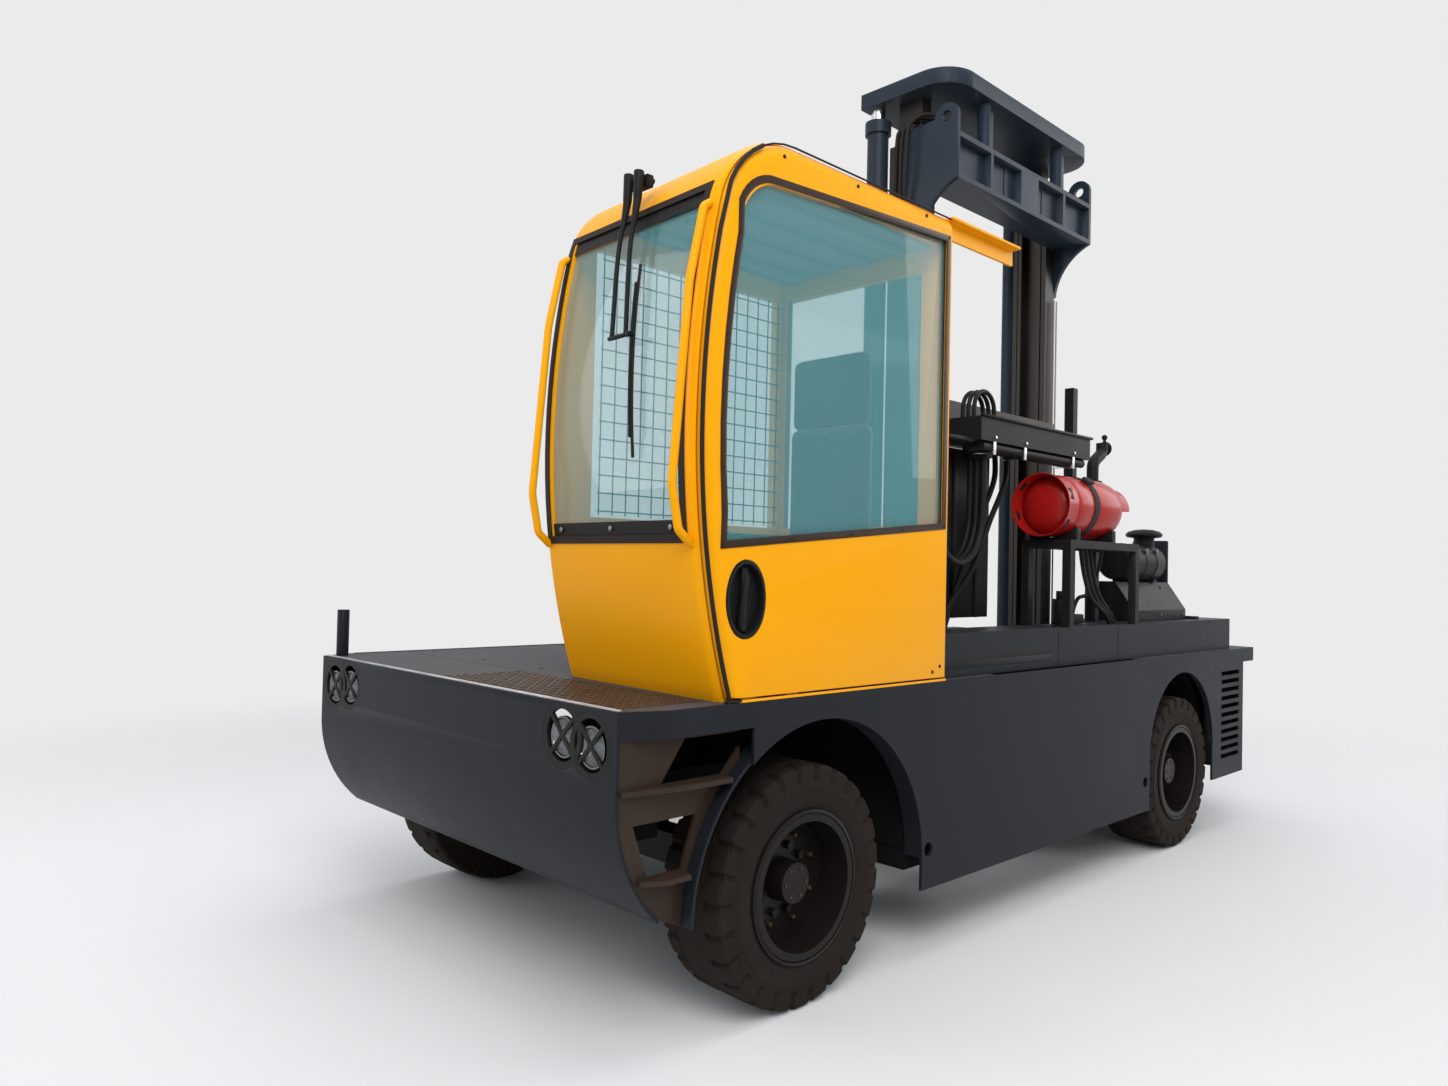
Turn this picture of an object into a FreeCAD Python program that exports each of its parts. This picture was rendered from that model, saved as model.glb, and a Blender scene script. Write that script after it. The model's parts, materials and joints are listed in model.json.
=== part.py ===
import FreeCAD, Part
import math
import os
import Sketcher

# Side loader forklift, lengths in millimetres and angles in degrees.
# +X is the way it drives, +Y is the cab side, +Z is up, and forks point to -Y.
# The origin is on the floor under the middle of the machine.
doc = FreeCAD.newDocument("side_loader")
sheet = doc.addObject("Spreadsheet::Sheet", "sizes")

# Driving dimensions: name, value, what it sets.
SIZES = [
    ("end_x", 2558, "bumper face and rear band from the middle"),
    ("side_y", 1120, "outer face of the skirts"),
    ("deck_z", 1085, "top of the load decks"),
    ("band_high", 85, "edge band under the deck top"),
    ("plate", 12, "chassis plate"),
    ("skirt_z", 275, "lower edge of the skirts"),
    ("tail_z", 320, "lower edge of the skirts behind the rear wheels"),
    ("tail_x", -2380, "rear panel under the rear overhang"),
    ("louvre_front", -2020, "front ends of the side louvres"),
    ("louvre_rear", -2310, "rear ends of the side louvres"),
    ("louvre_low", 430, "lowest side louvre"),
    ("louvre_gap", 50, "distance between louvres"),
    ("louvre_high", 26, "height of a louvre slot"),
    ("port_front", 1040, "round port in the front of the skirts"),
    ("port_rear", -955, "round port in the rear of the skirts"),
    ("port_z", 430, "round ports in the skirts"),
    ("port_r", 27, "round ports in the skirts"),
    ("front_axle_x", 1740, "front axle"),
    ("rear_axle_x", -1446, "rear axle"),
    ("tyre_r", 420, "tyre radius"),
    ("tyre_wide", 300, "tyre width"),
    ("tyre_y", 1100, "outer face of the tyres"),
    ("tread_round", 22, "shoulder of the tyre tread"),
    ("lug_deep", 14, "depth of the tyre's shoulder notches"),
    ("lug_wide", 26, "width of the shoulder notches"),
    ("lug_long", 78, "length of the shoulder notches across the tread"),
    ("seat_r", 236, "tyre seat on the rim"),
    ("rim_lip", 14, "height of the rim lip over the seat"),
    ("rim_wall", 12, "rim metal"),
    ("disc_deep", 130, "depth of the rim disc from the outer lip"),
    ("hub_r", 76, "hub cap radius"),
    ("hub_proud", 78, "hub cap over the disc"),
    ("nut_circle", 118, "wheel nuts from the wheel centre"),
    ("nut_r", 15, "wheel nut"),
    ("nut_high", 20, "wheel nut over the disc"),
    ("axle_r", 55, "axle stub in the hub"),
    ("arch_x", 1680, "front arch centre"),
    ("arch_z", 400, "front arch centre height"),
    ("arch_r", 597, "front arch radius"),
    ("rear_arch_z", 545, "rear arch centre height"),
    ("rear_arch_r", 440, "rear arch radius"),
    ("liner", 70, "depth of the arch flange"),
    ("recess_y", 1060, "side panels beside the bumper"),
    ("band_front_x", 2400, "start of the band's corner chamfer"),
    ("chin_x", 2383, "rear end of the bumper's chin"),
    ("chin_z", 428, "lower edge of the bumper's chin"),
    ("chin_top", 820, "height where the bumper starts to curve"),
    ("chin_r", 520, "curve of the bumper's chin"),
    ("lamp_y", 855, "lamp pair from the middle plane"),
    ("lamp_z", 975, "height of the lamps"),
    ("lamp_gap", 150, "distance between the two rings of a pair"),
    ("lamp_drop", 12, "outer ring below the inner ring"),
    ("ring_r", 105, "ring of the lamp guard"),
    ("ring_wide", 22, "metal of the ring"),
    ("lamp_r", 70, "lamp glass"),
    ("lamp_deep", 60, "lamp housing"),
    ("step_high", 850, "upper tread"),
    ("step_low", 575, "lower tread"),
    ("step_mid", 740, "upper edge of the lower step opening"),
    ("tread", 16, "tread plate"),
    ("well_front", 540, "front wall of the mast well"),
    ("well_rear", -890, "rear wall of the mast well"),
    ("well_y", 870, "near wall of the mast well"),
    ("wall", 20, "walls of the mast well"),
    ("rail_z", 330, "lower face of the reach rails"),
    ("rail_high", 160, "reach rail height"),
    ("rail_deep", 40, "reach rail depth"),
    ("rail_web", 14, "reach rail flange"),
    ("cover_z", 1270, "top of the side covers"),
    ("cover_y", 1078, "outer face of the side covers"),
    ("cover_in", 640, "inner edge of the rear covers"),
    ("cover_front", 920, "front end of the side covers"),
    ("cover_joint", -700, "joint between the covers"),
    ("hatch_front", -1905, "front edge of the service hatch"),
    ("cover_rear", -2260, "rear end of the side covers"),
    ("hatch_thick", 30, "service hatch"),
    ("hinge_r", 9, "barrel of the hatch hinge"),
    ("hinge_long", 200, "moving barrel of the hatch hinge"),
    ("cab_rear", 940, "rear wall of the cab"),
    ("cab_far", 180, "far wall of the cab"),
    ("cab_top", 2970, "top of the roof"),
    ("cab_wall", 34, "walls of the cab"),
    ("cab_floor", 24, "floor of the cab"),
    ("nose_low", 2162, "cab front at the floor"),
    ("nose_lean", 150, "foremost point of the cab front ahead of its foot"),
    ("nose_mid_z", 1980, "height of the foremost point"),
    ("nose_high_r", 3250, "curve of the cab front above its foremost point"),
    ("brow_r", 340, "curve from the cab front into the roof"),
    ("front_turn", 3.2, "turn of the cab's front in plan, in degrees"),
    ("edge_near", 70, "rounding of the cab's near edge"),
    ("edge_far", 36, "rounding of the cab's far edge"),
    ("roof_z", 2880, "joint between cab shell and roof"),
    ("glass_low", 1600, "lower edge of the windscreen"),
    ("glass_high", 2760, "upper edge of the windscreen"),
    ("glass_far", 62, "windscreen's far edge from the far wall's face"),
    ("glass_near", 88, "windscreen's near edge from the side's face"),
    ("far_pane_in", 40, "rear and far windows from the cab's corners"),
    ("glass", 6, "glass thickness"),
    ("fit", 0.3, "gap round a pane or a cap in its seat"),
    ("door_in", 1084, "inner face of the sliding door"),
    ("door_gap", 6, "gap round the sliding door"),
    ("door_rear", 948, "rear edge of the sliding door"),
    ("door_low", 1100, "lower edge of the sliding door"),
    ("door_front", 20, "door edge behind the cab front's curve"),
    ("door_rim", 26, "frame behind the door window"),
    ("window_in", 100, "door window's front edge behind the cab's front"),
    ("sill_front", 1590, "door window's lower edge in front"),
    ("sill_rear", 1705, "door window's lower edge behind"),
    ("head_front", 2800, "door window's upper edge in front"),
    ("head_rear", 2868, "door window's upper edge behind"),
    ("grip_x", 2090, "door handle recess"),
    ("grip_z", 1418, "height of the door handle recess"),
    ("grip_wide", 91, "half width of the handle recess"),
    ("grip_high", 128, "half height of the handle recess"),
    ("grip_end_r", 77, "end curve of the handle recess"),
    ("shoe", 60, "length of the door's sliding shoes"),
    ("shoe_rear", 1820, "rear sliding shoe of the door"),
    ("shoe_front", 2030, "front sliding shoe of the door"),
    ("hood_rear", 405, "rear end of the door rail's hood"),
    ("grab_r", 14, "grab rails"),
    ("grab_out", 66, "grab rails from the cab's front"),
    ("grab_low", 1590, "lower feet of the grab rails"),
    ("grab_high", 2680, "upper feet of the grab rails"),
    ("grab_near", 62, "near grab rail from the side's face"),
    ("grab_far", 32, "far grab rail from the far wall's face"),
    ("mast_x", -175, "middle of the mast"),
    ("mast_half", 636, "outer face of the outer uprights"),
    ("mast_near", 630, "near face of the uprights"),
    ("mast_deep", 200, "depth of the uprights"),
    ("channel_web", 22, "web of the outer uprights"),
    ("channel_flange", 26, "flanges of the outer uprights"),
    ("channel_wide", 96, "width of the outer uprights"),
    ("mast_low", 300, "lower end of the uprights"),
    ("mast_top", 3590, "upper end of the outer uprights"),
    ("inner_wide", 70, "width of the inner uprights"),
    ("inner_over", 205, "inner uprights over the outer uprights"),
    ("run_gap", 6, "running gap between mast stages"),
    ("top_plate", 75, "top plate of the inner mast"),
    ("top_half", 705, "half length of the top plate"),
    ("top_near", 830, "near edge of the top plate"),
    ("top_far", 300, "far edge of the top plate"),
    ("beam_down", 30, "crossbeam under the top of the outer uprights"),
    ("beam_tall", 220, "crossbeam"),
    ("beam_near", 830, "near face of the crossbeam"),
    ("gusset", 24, "end plates of the crossbeam"),
    ("lift_r", 52, "lift cylinder barrel"),
    ("collar_r", 64, "lift cylinder collar"),
    ("collar_over", 140, "lift cylinders over the outer uprights"),
    ("collar_high", 60, "lift cylinder collar height"),
    ("rod_r", 35, "lift cylinder rod"),
    ("lift_x", 642, "lift cylinders from the mast's middle"),
    ("lift_y", 360, "lift cylinders"),
    ("tray_low", 2130, "underside of the hose tray"),
    ("tray_high", 110, "hose tray"),
    ("tray_near", 930, "near edge of the hose tray"),
    ("tray_front", 400, "front end of the hose tray"),
    ("tray_rear", -660, "rear end of the hose tray"),
    ("pipe_r", 22, "pipes under the hose tray"),
    ("gas_r", 155, "gas bottle"),
    ("gas_front", -75, "front end of the gas bottle"),
    ("gas_rear", -790, "rear end of the gas bottle"),
    ("gas_y", 965, "gas bottle"),
    ("gas_z", 1860, "gas bottle"),
    ("leg", 40, "angle legs of the gas bottle's frame"),
    ("leg_front", -180, "front legs of the frame"),
    ("leg_rear", -900, "rear legs of the frame"),
    ("filter_r", 112, "air filter"),
    ("fork_long", 1200, "fork blade"),
    ("fork_wide", 150, "fork blade"),
    ("fork_thick", 55, "fork blade at the heel"),
    ("fork_tip", 15, "fork blade at the tip"),
    ("fork_z", 340, "underside of the forks"),
    ("fork_x", 330, "forks from the mast's middle"),
    ("hole_front", 2290, "front of the upper foot opening's top"),
    ("hole_rear", 2000, "rear of the upper foot opening's top"),
    ("hole_top", 982, "top of the upper foot opening"),
    ("hole_front_low", 2385, "front of the upper foot opening's foot"),
    ("hole_rear_low", 2125, "rear of the upper foot opening's foot"),
    ("toe_front", 2490, "front of the lower foot opening's top"),
    ("toe_rear", 2235, "rear of the lower foot opening's top"),
    ("toe_rear_low", 2290, "rear of the lower foot opening's foot"),
    ("toe_front_low", 2430, "front of the lower foot opening's foot"),
    ("tread_tip", 2545, "front end of the upper tread"),
    ("tread_kink", 235, "kink of the upper tread behind its front end"),
    ("tread_rear", 417, "length of the upper tread"),
    ("tread_heel", 14, "slope of the treads' rear ends"),
    ("toe_tip", 2470, "front end of the lower tread"),
    ("toe_kink", 70, "kink of the lower tread behind its front end"),
    ("toe_end", 170, "length of the lower tread"),
    ("post_x", 2490, "corner post on the front deck"),
    ("post_y", 1020, "corner post from the middle plane"),
    ("post_r", 26, "corner post"),
    ("post_high", 205, "corner post"),
    ("member_y", 300, "front members from the middle plane"),
    ("rear_member_y", 560, "rear members from the middle plane"),
    ("member", 120, "width of the members"),
    ("member_z", 560, "underside of the members"),
    ("member_high", 140, "height of the members"),
    ("member_front", 2420, "front ends of the members"),
    ("grille_low_y", -520, "far edge of the rear grille"),
    ("grille_high_y", 1000, "near edge of the rear grille"),
    ("grille_low", 420, "lower edge of the rear grille"),
    ("grille_high", 960, "upper edge of the rear grille"),
    ("engine_rear", -2320, "rear end of the engine"),
    ("engine_front", -1680, "front end of the engine"),
    ("engine_half", 499.7, "half width of the engine"),
    ("engine_low", 450, "underside of the engine"),
    ("engine_top", 1040, "top of the engine"),
    ("bar_wide", 14, "crossed bars of the lamp guards"),
    ("lip_wide", 8, "rim lip beside the tyre"),
    ("lip_room", 12, "tyre face round the rim lip"),
    ("bulge", 38, "slope of the tyre's side wall"),
    ("axle_beam", 120, "front axle beam"),
    ("king_y", 880, "king pins from the middle plane"),
    ("king_r", 46, "king pin housing"),
    ("knuckle_high", 170, "knuckle height"),
    ("ear", 24, "ears of the front axle"),
    ("ear_root", 50, "length of the ears' root"),
    ("tube_r", 75, "rear axle tube"),
    ("bulb_r", 190, "differential housing"),
    ("bulb_y", 170, "half width of the differential housing"),
    ("sill_back", 12, "window's front edge set back at the sill"),
    ("head_back", 62, "window's front edge set back at the head"),
    ("corner_r", 170, "window's upper front corner"),
    ("sill", 30, "door sill"),
    ("post", 110, "width of the front pillars"),
    ("pane_in", 12, "panes set in from the cab's face"),
    ("seat_x", 1350, "middle of the seat"),
    ("seat_y", 640, "seat"),
    ("seat_base_half", 180, "half length and width of the seat's base"),
    ("seat_base_high", 300, "seat's base"),
    ("seat_half", 240, "half length and width of the seat"),
    ("cushion_high", 110, "seat cushion"),
    ("back_thick", 120, "seat back"),
    ("back_high", 640, "seat back"),
    ("column_x", 1960, "steering column"),
    ("column_r", 60, "steering column"),
    ("column_high", 520, "steering column"),
    ("steering_r", 190, "steering wheel"),
    ("steering_thick", 28, "steering wheel"),
    ("foot_r", 112, "foot ring and collar of the gas bottle"),
    ("foot_long", 36, "foot ring of the gas bottle"),
    ("collar_long", 80, "collar of the gas bottle"),
    ("saddle", 14, "gap from the frame to the gas bottle"),
    ("frame_half", 130, "half width of the bottle's frame"),
    ("saddle_front", -240, "front saddle of the gas bottle"),
    ("saddle_rear", -620, "rear saddle of the gas bottle"),
    ("air_far", 700, "far face of the air cleaner box"),
    ("air_near", 965, "near face of the air cleaner box"),
    ("air_shelf", 1490, "shelf of the air cleaner box"),
    ("air_front", -1140, "front end of the air cleaner box"),
    ("air_rear", -1860, "rear end of the air cleaner box"),
    ("filter_long", 460, "air filter"),
    ("cap_x", -1610, "rain cap of the air filter"),
    ("cap_z", 1760, "underside of the rain cap"),
    ("cap_r", 95, "rain cap"),
    ("cap_high", 50, "rain cap"),
    ("stack_x", -960, "exhaust pipe"),
    ("stack_y", 800, "exhaust pipe"),
    ("stack_r", 32, "exhaust pipe"),
    ("stack_top", 2270, "top of the exhaust pipe"),
    ("stack_reach", 110, "offset of the exhaust pipe's upper end to the rear"),
    ("stake_x", -1110, "square post"),
    ("stake_y", 590, "square post"),
    ("stake", 56, "square post"),
    ("stake_top", 2610, "top of the square post"),
    ("tie_low", 520, "lower tie of the outer mast"),
    ("tie_mid", 2180, "middle tie of the outer mast"),
    ("tie_high", 180, "ties of the mast"),
    ("tie_thick", 20, "ties of the mast"),
    ("beam_flange", 24, "flanges of the crossbeam"),
    ("block_half", 85, "half width of the crossbeam's middle block"),
    ("beam_web", 790, "near face of the crossbeam's web"),
    ("gusset_far", 470, "far edge of the end plates"),
    ("gusset_down", 260, "end plates under the crossbeam"),
    ("gusset_r", 300, "curve of the end plates"),
    ("eye_y", 768, "lifting eye"),
    ("eye_up", 80, "lifting eye over the crossbeam"),
    ("eye_r", 62, "lifting eye"),
    ("eye_hole", 26, "lifting eye"),
    ("post_from", 357, "chain posts from the mast's middle"),
    ("chain_y", 780, "chain posts"),
    ("chain_r", 32, "chain posts"),
    ("barrel_low", 540, "lower end of the lift cylinders"),
    ("inner_web", 16, "web of the inner uprights"),
    ("inner_flange", 20, "flanges of the inner uprights"),
    ("inner_tie_down", 90, "tie of the inner uprights under the outer uprights' top"),
    ("top_corner", 170, "near corners of the top plate"),
    ("notch_half", 330, "half width of the top plate's notch"),
    ("notch_y", 470, "depth of the top plate's notch"),
    ("rod_low", 620, "lower end of the lift rods"),
    ("bar_low", 420, "lower bar of the fork carriage"),
    ("bar_high", 880, "upper bar of the fork carriage"),
    ("bar_tall", 110, "bars of the fork carriage"),
    ("bar_thick", 40, "bars of the fork carriage"),
    ("cheek", 40, "side plates of the fork carriage"),
    ("arm_high", 130, "arms of the reach carriage"),
    ("arm_gap", 6, "gap from the uprights to the reach carriage"),
    ("arm", 20, "arms of the reach carriage"),
    ("arm_far", 400, "far end of the reach carriage"),
    ("arm_near", 860, "near end of the reach carriage"),
    ("pin_r", 30, "tilt pins"),
    ("pivot_y", 530, "tilt pins"),
    ("pad_wide", 50, "sliding pads of the mast"),
    ("pad_high", 110, "sliding pads of the mast"),
    ("roll_half", 27, "half width of the fork carriage's rollers"),
    ("roller_far", 470, "far rollers of the reach carriage"),
    ("roller_near", 790, "near rollers of the reach carriage"),
    ("roller_wide", 36, "rollers of the reach carriage"),
    ("roller_gap", 0.3, "rollers in their rails"),
    ("pivot_z", 410, "tilt pivot of the mast"),
]
for row, (alias, value, note) in enumerate(SIZES, start=1):
    sheet.set(f"A{row}", alias)
    sheet.set(f"B{row}", str(value))
    sheet.set(f"C{row}", note)
    sheet.setAlias(f"B{row}", alias)
doc.recompute()


class Measure:
    """A length with its number and the sheet expression that gives it."""

    def __init__(self, number, text):
        self.number = float(number)
        self.text = text

    def __add__(self, other):
        other = measure(other)
        return Measure(self.number + other.number, f"({self.text} + {other.text})")

    def __radd__(self, other):
        return measure(other) + self

    def __sub__(self, other):
        other = measure(other)
        return Measure(self.number - other.number, f"({self.text} - {other.text})")

    def __rsub__(self, other):
        return measure(other) - self

    def __mul__(self, factor):
        factor = measure(factor)
        return Measure(self.number * factor.number, f"({self.text} * {factor.text})")

    def __rmul__(self, factor):
        return self * factor

    def __truediv__(self, divisor):
        divisor = measure(divisor)
        return Measure(self.number / divisor.number, f"({self.text} / {divisor.text})")

    def __neg__(self):
        return Measure(-self.number, f"(0 - {self.text})")


def measure(thing):
    """Give a plain number the same form as a size from the sheet."""
    if isinstance(thing, Measure):
        return thing
    return Measure(thing, f"({float(thing)})")


def root(length):
    """Square root of a measure."""
    return Measure(math.sqrt(length.number), f"sqrt({length.text})")


class Sizes:
    """Read the sheet's sizes by name."""

    def __getattr__(self, alias):
        return Measure(sheet.get(alias), "sizes." + alias)


d = Sizes()
nodes = []
WHEEL_NUTS = 10
TYRE_FACETS = 40
LOUVRES = 11

# Heights and places that follow from the sizes above.
nose_mid = d.nose_low + d.nose_lean
beam_high = d.mast_top - d.beam_down
beam_low = beam_high - d.beam_tall
inner_top = d.mast_top + d.inner_over
collar_top = d.mast_top + d.collar_over
eye_z = beam_high + d.eye_up
gusset_low = beam_low - d.gusset_down
inner_tie_z = d.mast_top - d.inner_tie_down
glass_far = d.cab_far + d.glass_far
glass_near = d.side_y - d.glass_near


def keep(label, piece):
    """Name a finished sub-part and list it for writing."""
    piece.Label = label
    nodes.append(piece)
    return piece


def bind(piece, prop, length):
    """Tie a property to the sheet."""
    piece.setExpression(prop, measure(length).text)


def put(piece, place):
    """Tie a piece's position to the sheet."""
    for axis, length in zip("xyz", place):
        bind(piece, f"Placement.Base.{axis}", length)
    return piece


def box(name, low, high):
    """A box from its low corner to its high corner."""
    piece = doc.addObject("Part::Box", name)
    for prop, start, end in zip(("Length", "Width", "Height"), low, high):
        bind(piece, prop, measure(end) - start)
    return put(piece, low)


TURN = {
    "X": FreeCAD.Rotation(FreeCAD.Vector(0, 1, 0), 90),
    "Y": FreeCAD.Rotation(FreeCAD.Vector(1, 0, 0), -90),
    "Z": FreeCAD.Rotation(),
}


def rod(name, axis, start, radius, length):
    """A cylinder from its start point along +X, +Y or +Z."""
    piece = doc.addObject("Part::Cylinder", name)
    piece.Placement.Rotation = TURN[axis]
    bind(piece, "Radius", radius)
    bind(piece, "Height", length)
    return put(piece, start)


def fuse(name, pieces):
    """Join pieces into one solid."""
    joined = doc.addObject("Part::MultiFuse", name)
    joined.Shapes = pieces
    joined.Refine = True
    return joined


def cut(name, base, tools):
    """Take one or more tools out of a base."""
    tool = tools[0] if len(tools) == 1 else fuse(name + "_tools", tools)
    result = doc.addObject("Part::Cut", name)
    result.Base = base
    result.Tool = tool
    result.Refine = True
    return result


def common(name, base, tool):
    """Keep what two pieces share."""
    result = doc.addObject("Part::Common", name)
    result.Base = base
    result.Tool = tool
    result.Refine = True
    return result


def group(name, pieces):
    """Hold separate solids as one sub-part."""
    result = doc.addObject("Part::Compound", name)
    result.Links = pieces
    return result


def arc_centre(start, end, radius):
    """Centre of the arc from start to end: left of travel when radius is positive."""
    half = FreeCAD.Vector((end - start) / 2)
    reach = math.sqrt(max(radius * radius - half.Length ** 2, 0.0))
    left = FreeCAD.Vector(-half.y, half.x, 0)
    left.normalize()
    return start + half + left * math.copysign(reach, radius)


def draw(sketch, outline):
    """Draw one closed outline: points are (u, v) or, where an arc ends, (u, v, radius)."""
    if outline[0] == "circle":
        draw_circle(sketch, *outline[1:])
        return
    count = len(outline)
    places = [FreeCAD.Vector(measure(p[0]).number, measure(p[1]).number, 0) for p in outline]
    ends = []
    for index, start in enumerate(places):
        after = (index + 1) % count
        end = places[after]
        if len(outline[after]) == 2:
            edge = sketch.addGeometry(Part.LineSegment(start, end))
            ends.append((edge, 1, 2))
            continue
        radius = measure(outline[after][2])
        centre = arc_centre(start, end, radius.number)
        turn = Part.Circle(centre, FreeCAD.Vector(0, 0, 1), abs(radius.number))
        first, last = (start, end) if radius.number > 0 else (end, start)
        angles = [math.atan2((p - centre).y, (p - centre).x) for p in (first, last)]
        edge = sketch.addGeometry(Part.ArcOfCircle(turn, *angles))
        ends.append((edge, 1, 2) if radius.number > 0 else (edge, 2, 1))
        before = outline[index]
        if (end - start).Length > 1.9999 * abs(radius.number):
            pin_half_circle(sketch, edge, before, outline[after])
            continue
        spot = sketch.addConstraint(Sketcher.Constraint("Radius", edge, abs(radius.number)))
        sign = "" if radius.number > 0 else "-"
        sketch.setExpression(f"Constraints[{spot}]", f"{sign}{radius.text}")
    for index, (edge, first, last) in enumerate(ends):
        after = ends[(index + 1) % count]
        sketch.addConstraint(Sketcher.Constraint("Coincident", edge, last, after[0], after[1]))
        pin(sketch, edge, first, outline[index][0], outline[index][1])


def pin_half_circle(sketch, edge, start, end):
    """Fix the centre of a half circle between its ends, where a radius alone can't."""
    flat = abs(measure(end[0]).number - measure(start[0]).number) > 1
    kind, index = ("DistanceY", 1) if flat else ("DistanceX", 0)
    middle = (measure(start[index]) + end[index]) / 2
    spot = sketch.addConstraint(Sketcher.Constraint(kind, -1, 1, edge, 3, middle.number))
    sketch.setExpression(f"Constraints[{spot}]", middle.text)


def pin(sketch, edge, end, across, up):
    """Fix one point of a sketch by its two distances from the origin."""
    for kind, length, axis in (("DistanceX", across, -2), ("DistanceY", up, -1)):
        length = measure(length)
        if length.text == "(0.0)":
            sketch.addConstraint(Sketcher.Constraint("PointOnObject", edge, end, axis))
            continue
        spot = sketch.addConstraint(
            Sketcher.Constraint(kind, -1, 1, edge, end, length.number))
        sketch.setExpression(f"Constraints[{spot}]", length.text)


def draw_circle(sketch, across, up, radius):
    """Draw one circle by its centre and radius."""
    centre = FreeCAD.Vector(measure(across).number, measure(up).number, 0)
    radius = measure(radius)
    edge = sketch.addGeometry(Part.Circle(centre, FreeCAD.Vector(0, 0, 1), radius.number))
    pin(sketch, edge, 3, across, up)
    spot = sketch.addConstraint(Sketcher.Constraint("Radius", edge, radius.number))
    sketch.setExpression(f"Constraints[{spot}]", radius.text)


PLANE = {"XY": ("XY_Plane", 1), "XZ": ("XZ_Plane", -1), "YZ": ("YZ_Plane", 1)}


def sketch_on(body, plane, offset, outlines):
    """A sketch on a plane of its body, moved along the third axis."""
    role, side = PLANE[plane]
    support = [f for f in body.Origin.OriginFeatures if f.Role == role][0]
    sketch = body.newObject("Sketcher::SketchObject", body.Name + "_sketch")
    sketch.AttachmentSupport = [(support, "")]
    sketch.MapMode = "FlatFace"
    offset = measure(offset)
    sketch.AttachmentOffset.Base.z = side * offset.number
    bind(sketch, "AttachmentOffset.Base.z", offset * side)
    for outline in outlines:
        draw(sketch, outline)
    return sketch


def prism(name, plane, outlines, low, high):
    """A flat outline, with any holes after it, padded between two levels of the third axis."""
    body = doc.addObject("PartDesign::Body", name)
    start = high if plane == "XZ" else low
    sketch = sketch_on(body, plane, start, outlines)
    pad = body.newObject("PartDesign::Pad", name + "_pad")
    pad.Profile = sketch
    bind(pad, "Length", measure(high) - low)
    sketch.Visibility = False
    return body


def turned(name, axis, outline, place):
    """An outline of (along, radius) points turned about its own +X, +Y or +Z line."""
    body = doc.addObject("PartDesign::Body", name)
    sketch = sketch_on(body, "XY", 0, [outline])
    spin = body.newObject("PartDesign::Revolution", name + "_turn")
    spin.Profile = sketch
    spin.ReferenceAxis = (sketch, ["H_Axis"])
    spin.Angle = 360
    along = {"X": (0, 0, 1, 0), "Y": (0, 0, 1, 90), "Z": (0, 1, 0, -90)}[axis]
    body.Placement.Rotation = FreeCAD.Rotation(FreeCAD.Vector(*along[:3]), along[3])
    return put(body, place)


def sweep_pipe(name, points, radius, bends):
    """A round pipe along straight runs with one bend radius at each inner point."""
    spots = [FreeCAD.Vector(*[measure(v).number for v in p]) for p in points]
    edges = []
    start = spots[0]
    for index in range(1, len(spots) - 1):
        before = (spots[index - 1] - spots[index]).normalize()
        after = (spots[index + 1] - spots[index]).normalize()
        half = before.getAngle(after) / 2
        back = bends[index - 1] / math.tan(half)
        enter = spots[index] + before * back
        leave = spots[index] + after * back
        middle = (before + after).normalize()
        centre = spots[index] + middle * (bends[index - 1] / math.sin(half))
        top = centre - middle * bends[index - 1]
        edges.append(Part.LineSegment(start, enter).toShape())
        edges.append(Part.Arc(enter, top, leave).toShape())
        start = leave
    edges.append(Part.LineSegment(start, spots[-1]).toShape())
    path = Part.Wire(edges)
    heading = (spots[1] - spots[0]).normalize()
    ring = Part.Wire(Part.makeCircle(measure(radius).number, spots[0], heading))
    pipe = doc.addObject("Part::Feature", name)
    pipe.Shape = path.makePipeShell([ring], True, False)
    return pipe


# Chassis: skirts with their wheel arches, decks, mast well and rails.
band_low = d.deck_z - d.band_high
skirt_in = d.side_y - d.plate


def arch_ring(name, x, z, radius, low, high):
    """The upper half of a wheel arch's inward flange."""
    outer = radius + d.plate
    outline = [(x + outer, z), (x - outer, z, outer), (x - radius, z), (x + radius, z, -radius)]
    return prism(name, "XZ", [outline], low, high)


def rear_side(start):
    """Skirt outline from a place along the machine back to the tail, arch included."""
    return [
        (start, d.deck_z),
        (-d.end_x, d.deck_z),
        (-d.end_x, band_low),
        (d.tail_x, band_low),
        (d.tail_x, d.tail_z),
        (d.rear_axle_x - d.rear_arch_r, d.tail_z),
        (d.rear_axle_x - d.rear_arch_r, d.rear_arch_z),
        (d.rear_axle_x + d.rear_arch_r, d.rear_arch_z, -d.rear_arch_r),
        (d.rear_axle_x + d.rear_arch_r, d.skirt_z),
        (start, d.skirt_z),
    ]


def front_side(end):
    """Skirt outline from the front band back past the front arch to a place behind it."""
    return [
        (end, d.skirt_z),
        (d.arch_x - d.arch_r, d.skirt_z),
        (d.arch_x - d.arch_r, d.arch_z),
        (d.arch_x + d.arch_r * 0.6, d.arch_z + d.arch_r * 0.8, -d.arch_r),
        (d.arch_x + d.arch_r * 0.6, band_low),
        (d.band_front_x, band_low),
        (d.band_front_x, d.deck_z),
        (end, d.deck_z),
    ]


def skirt_holes(tag, face, ports, louvred):
    """Cutters through a side plate: its round ports and, at the rear, the louvre slots."""
    start, deep = face - 1, d.plate + 2
    tools = [rod(f"{tag}_port_{index}", "Y", (x, start, d.port_z), d.port_r, deep)
             for index, x in enumerate(ports)]
    if louvred:
        for index in range(LOUVRES):
            low = d.louvre_low + d.louvre_gap * index
            tools.append(box(f"{tag}_louvre_{index}", (d.louvre_rear, start, low),
                             (d.louvre_front, start + deep, low + d.louvre_high)))
    return tools


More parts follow.
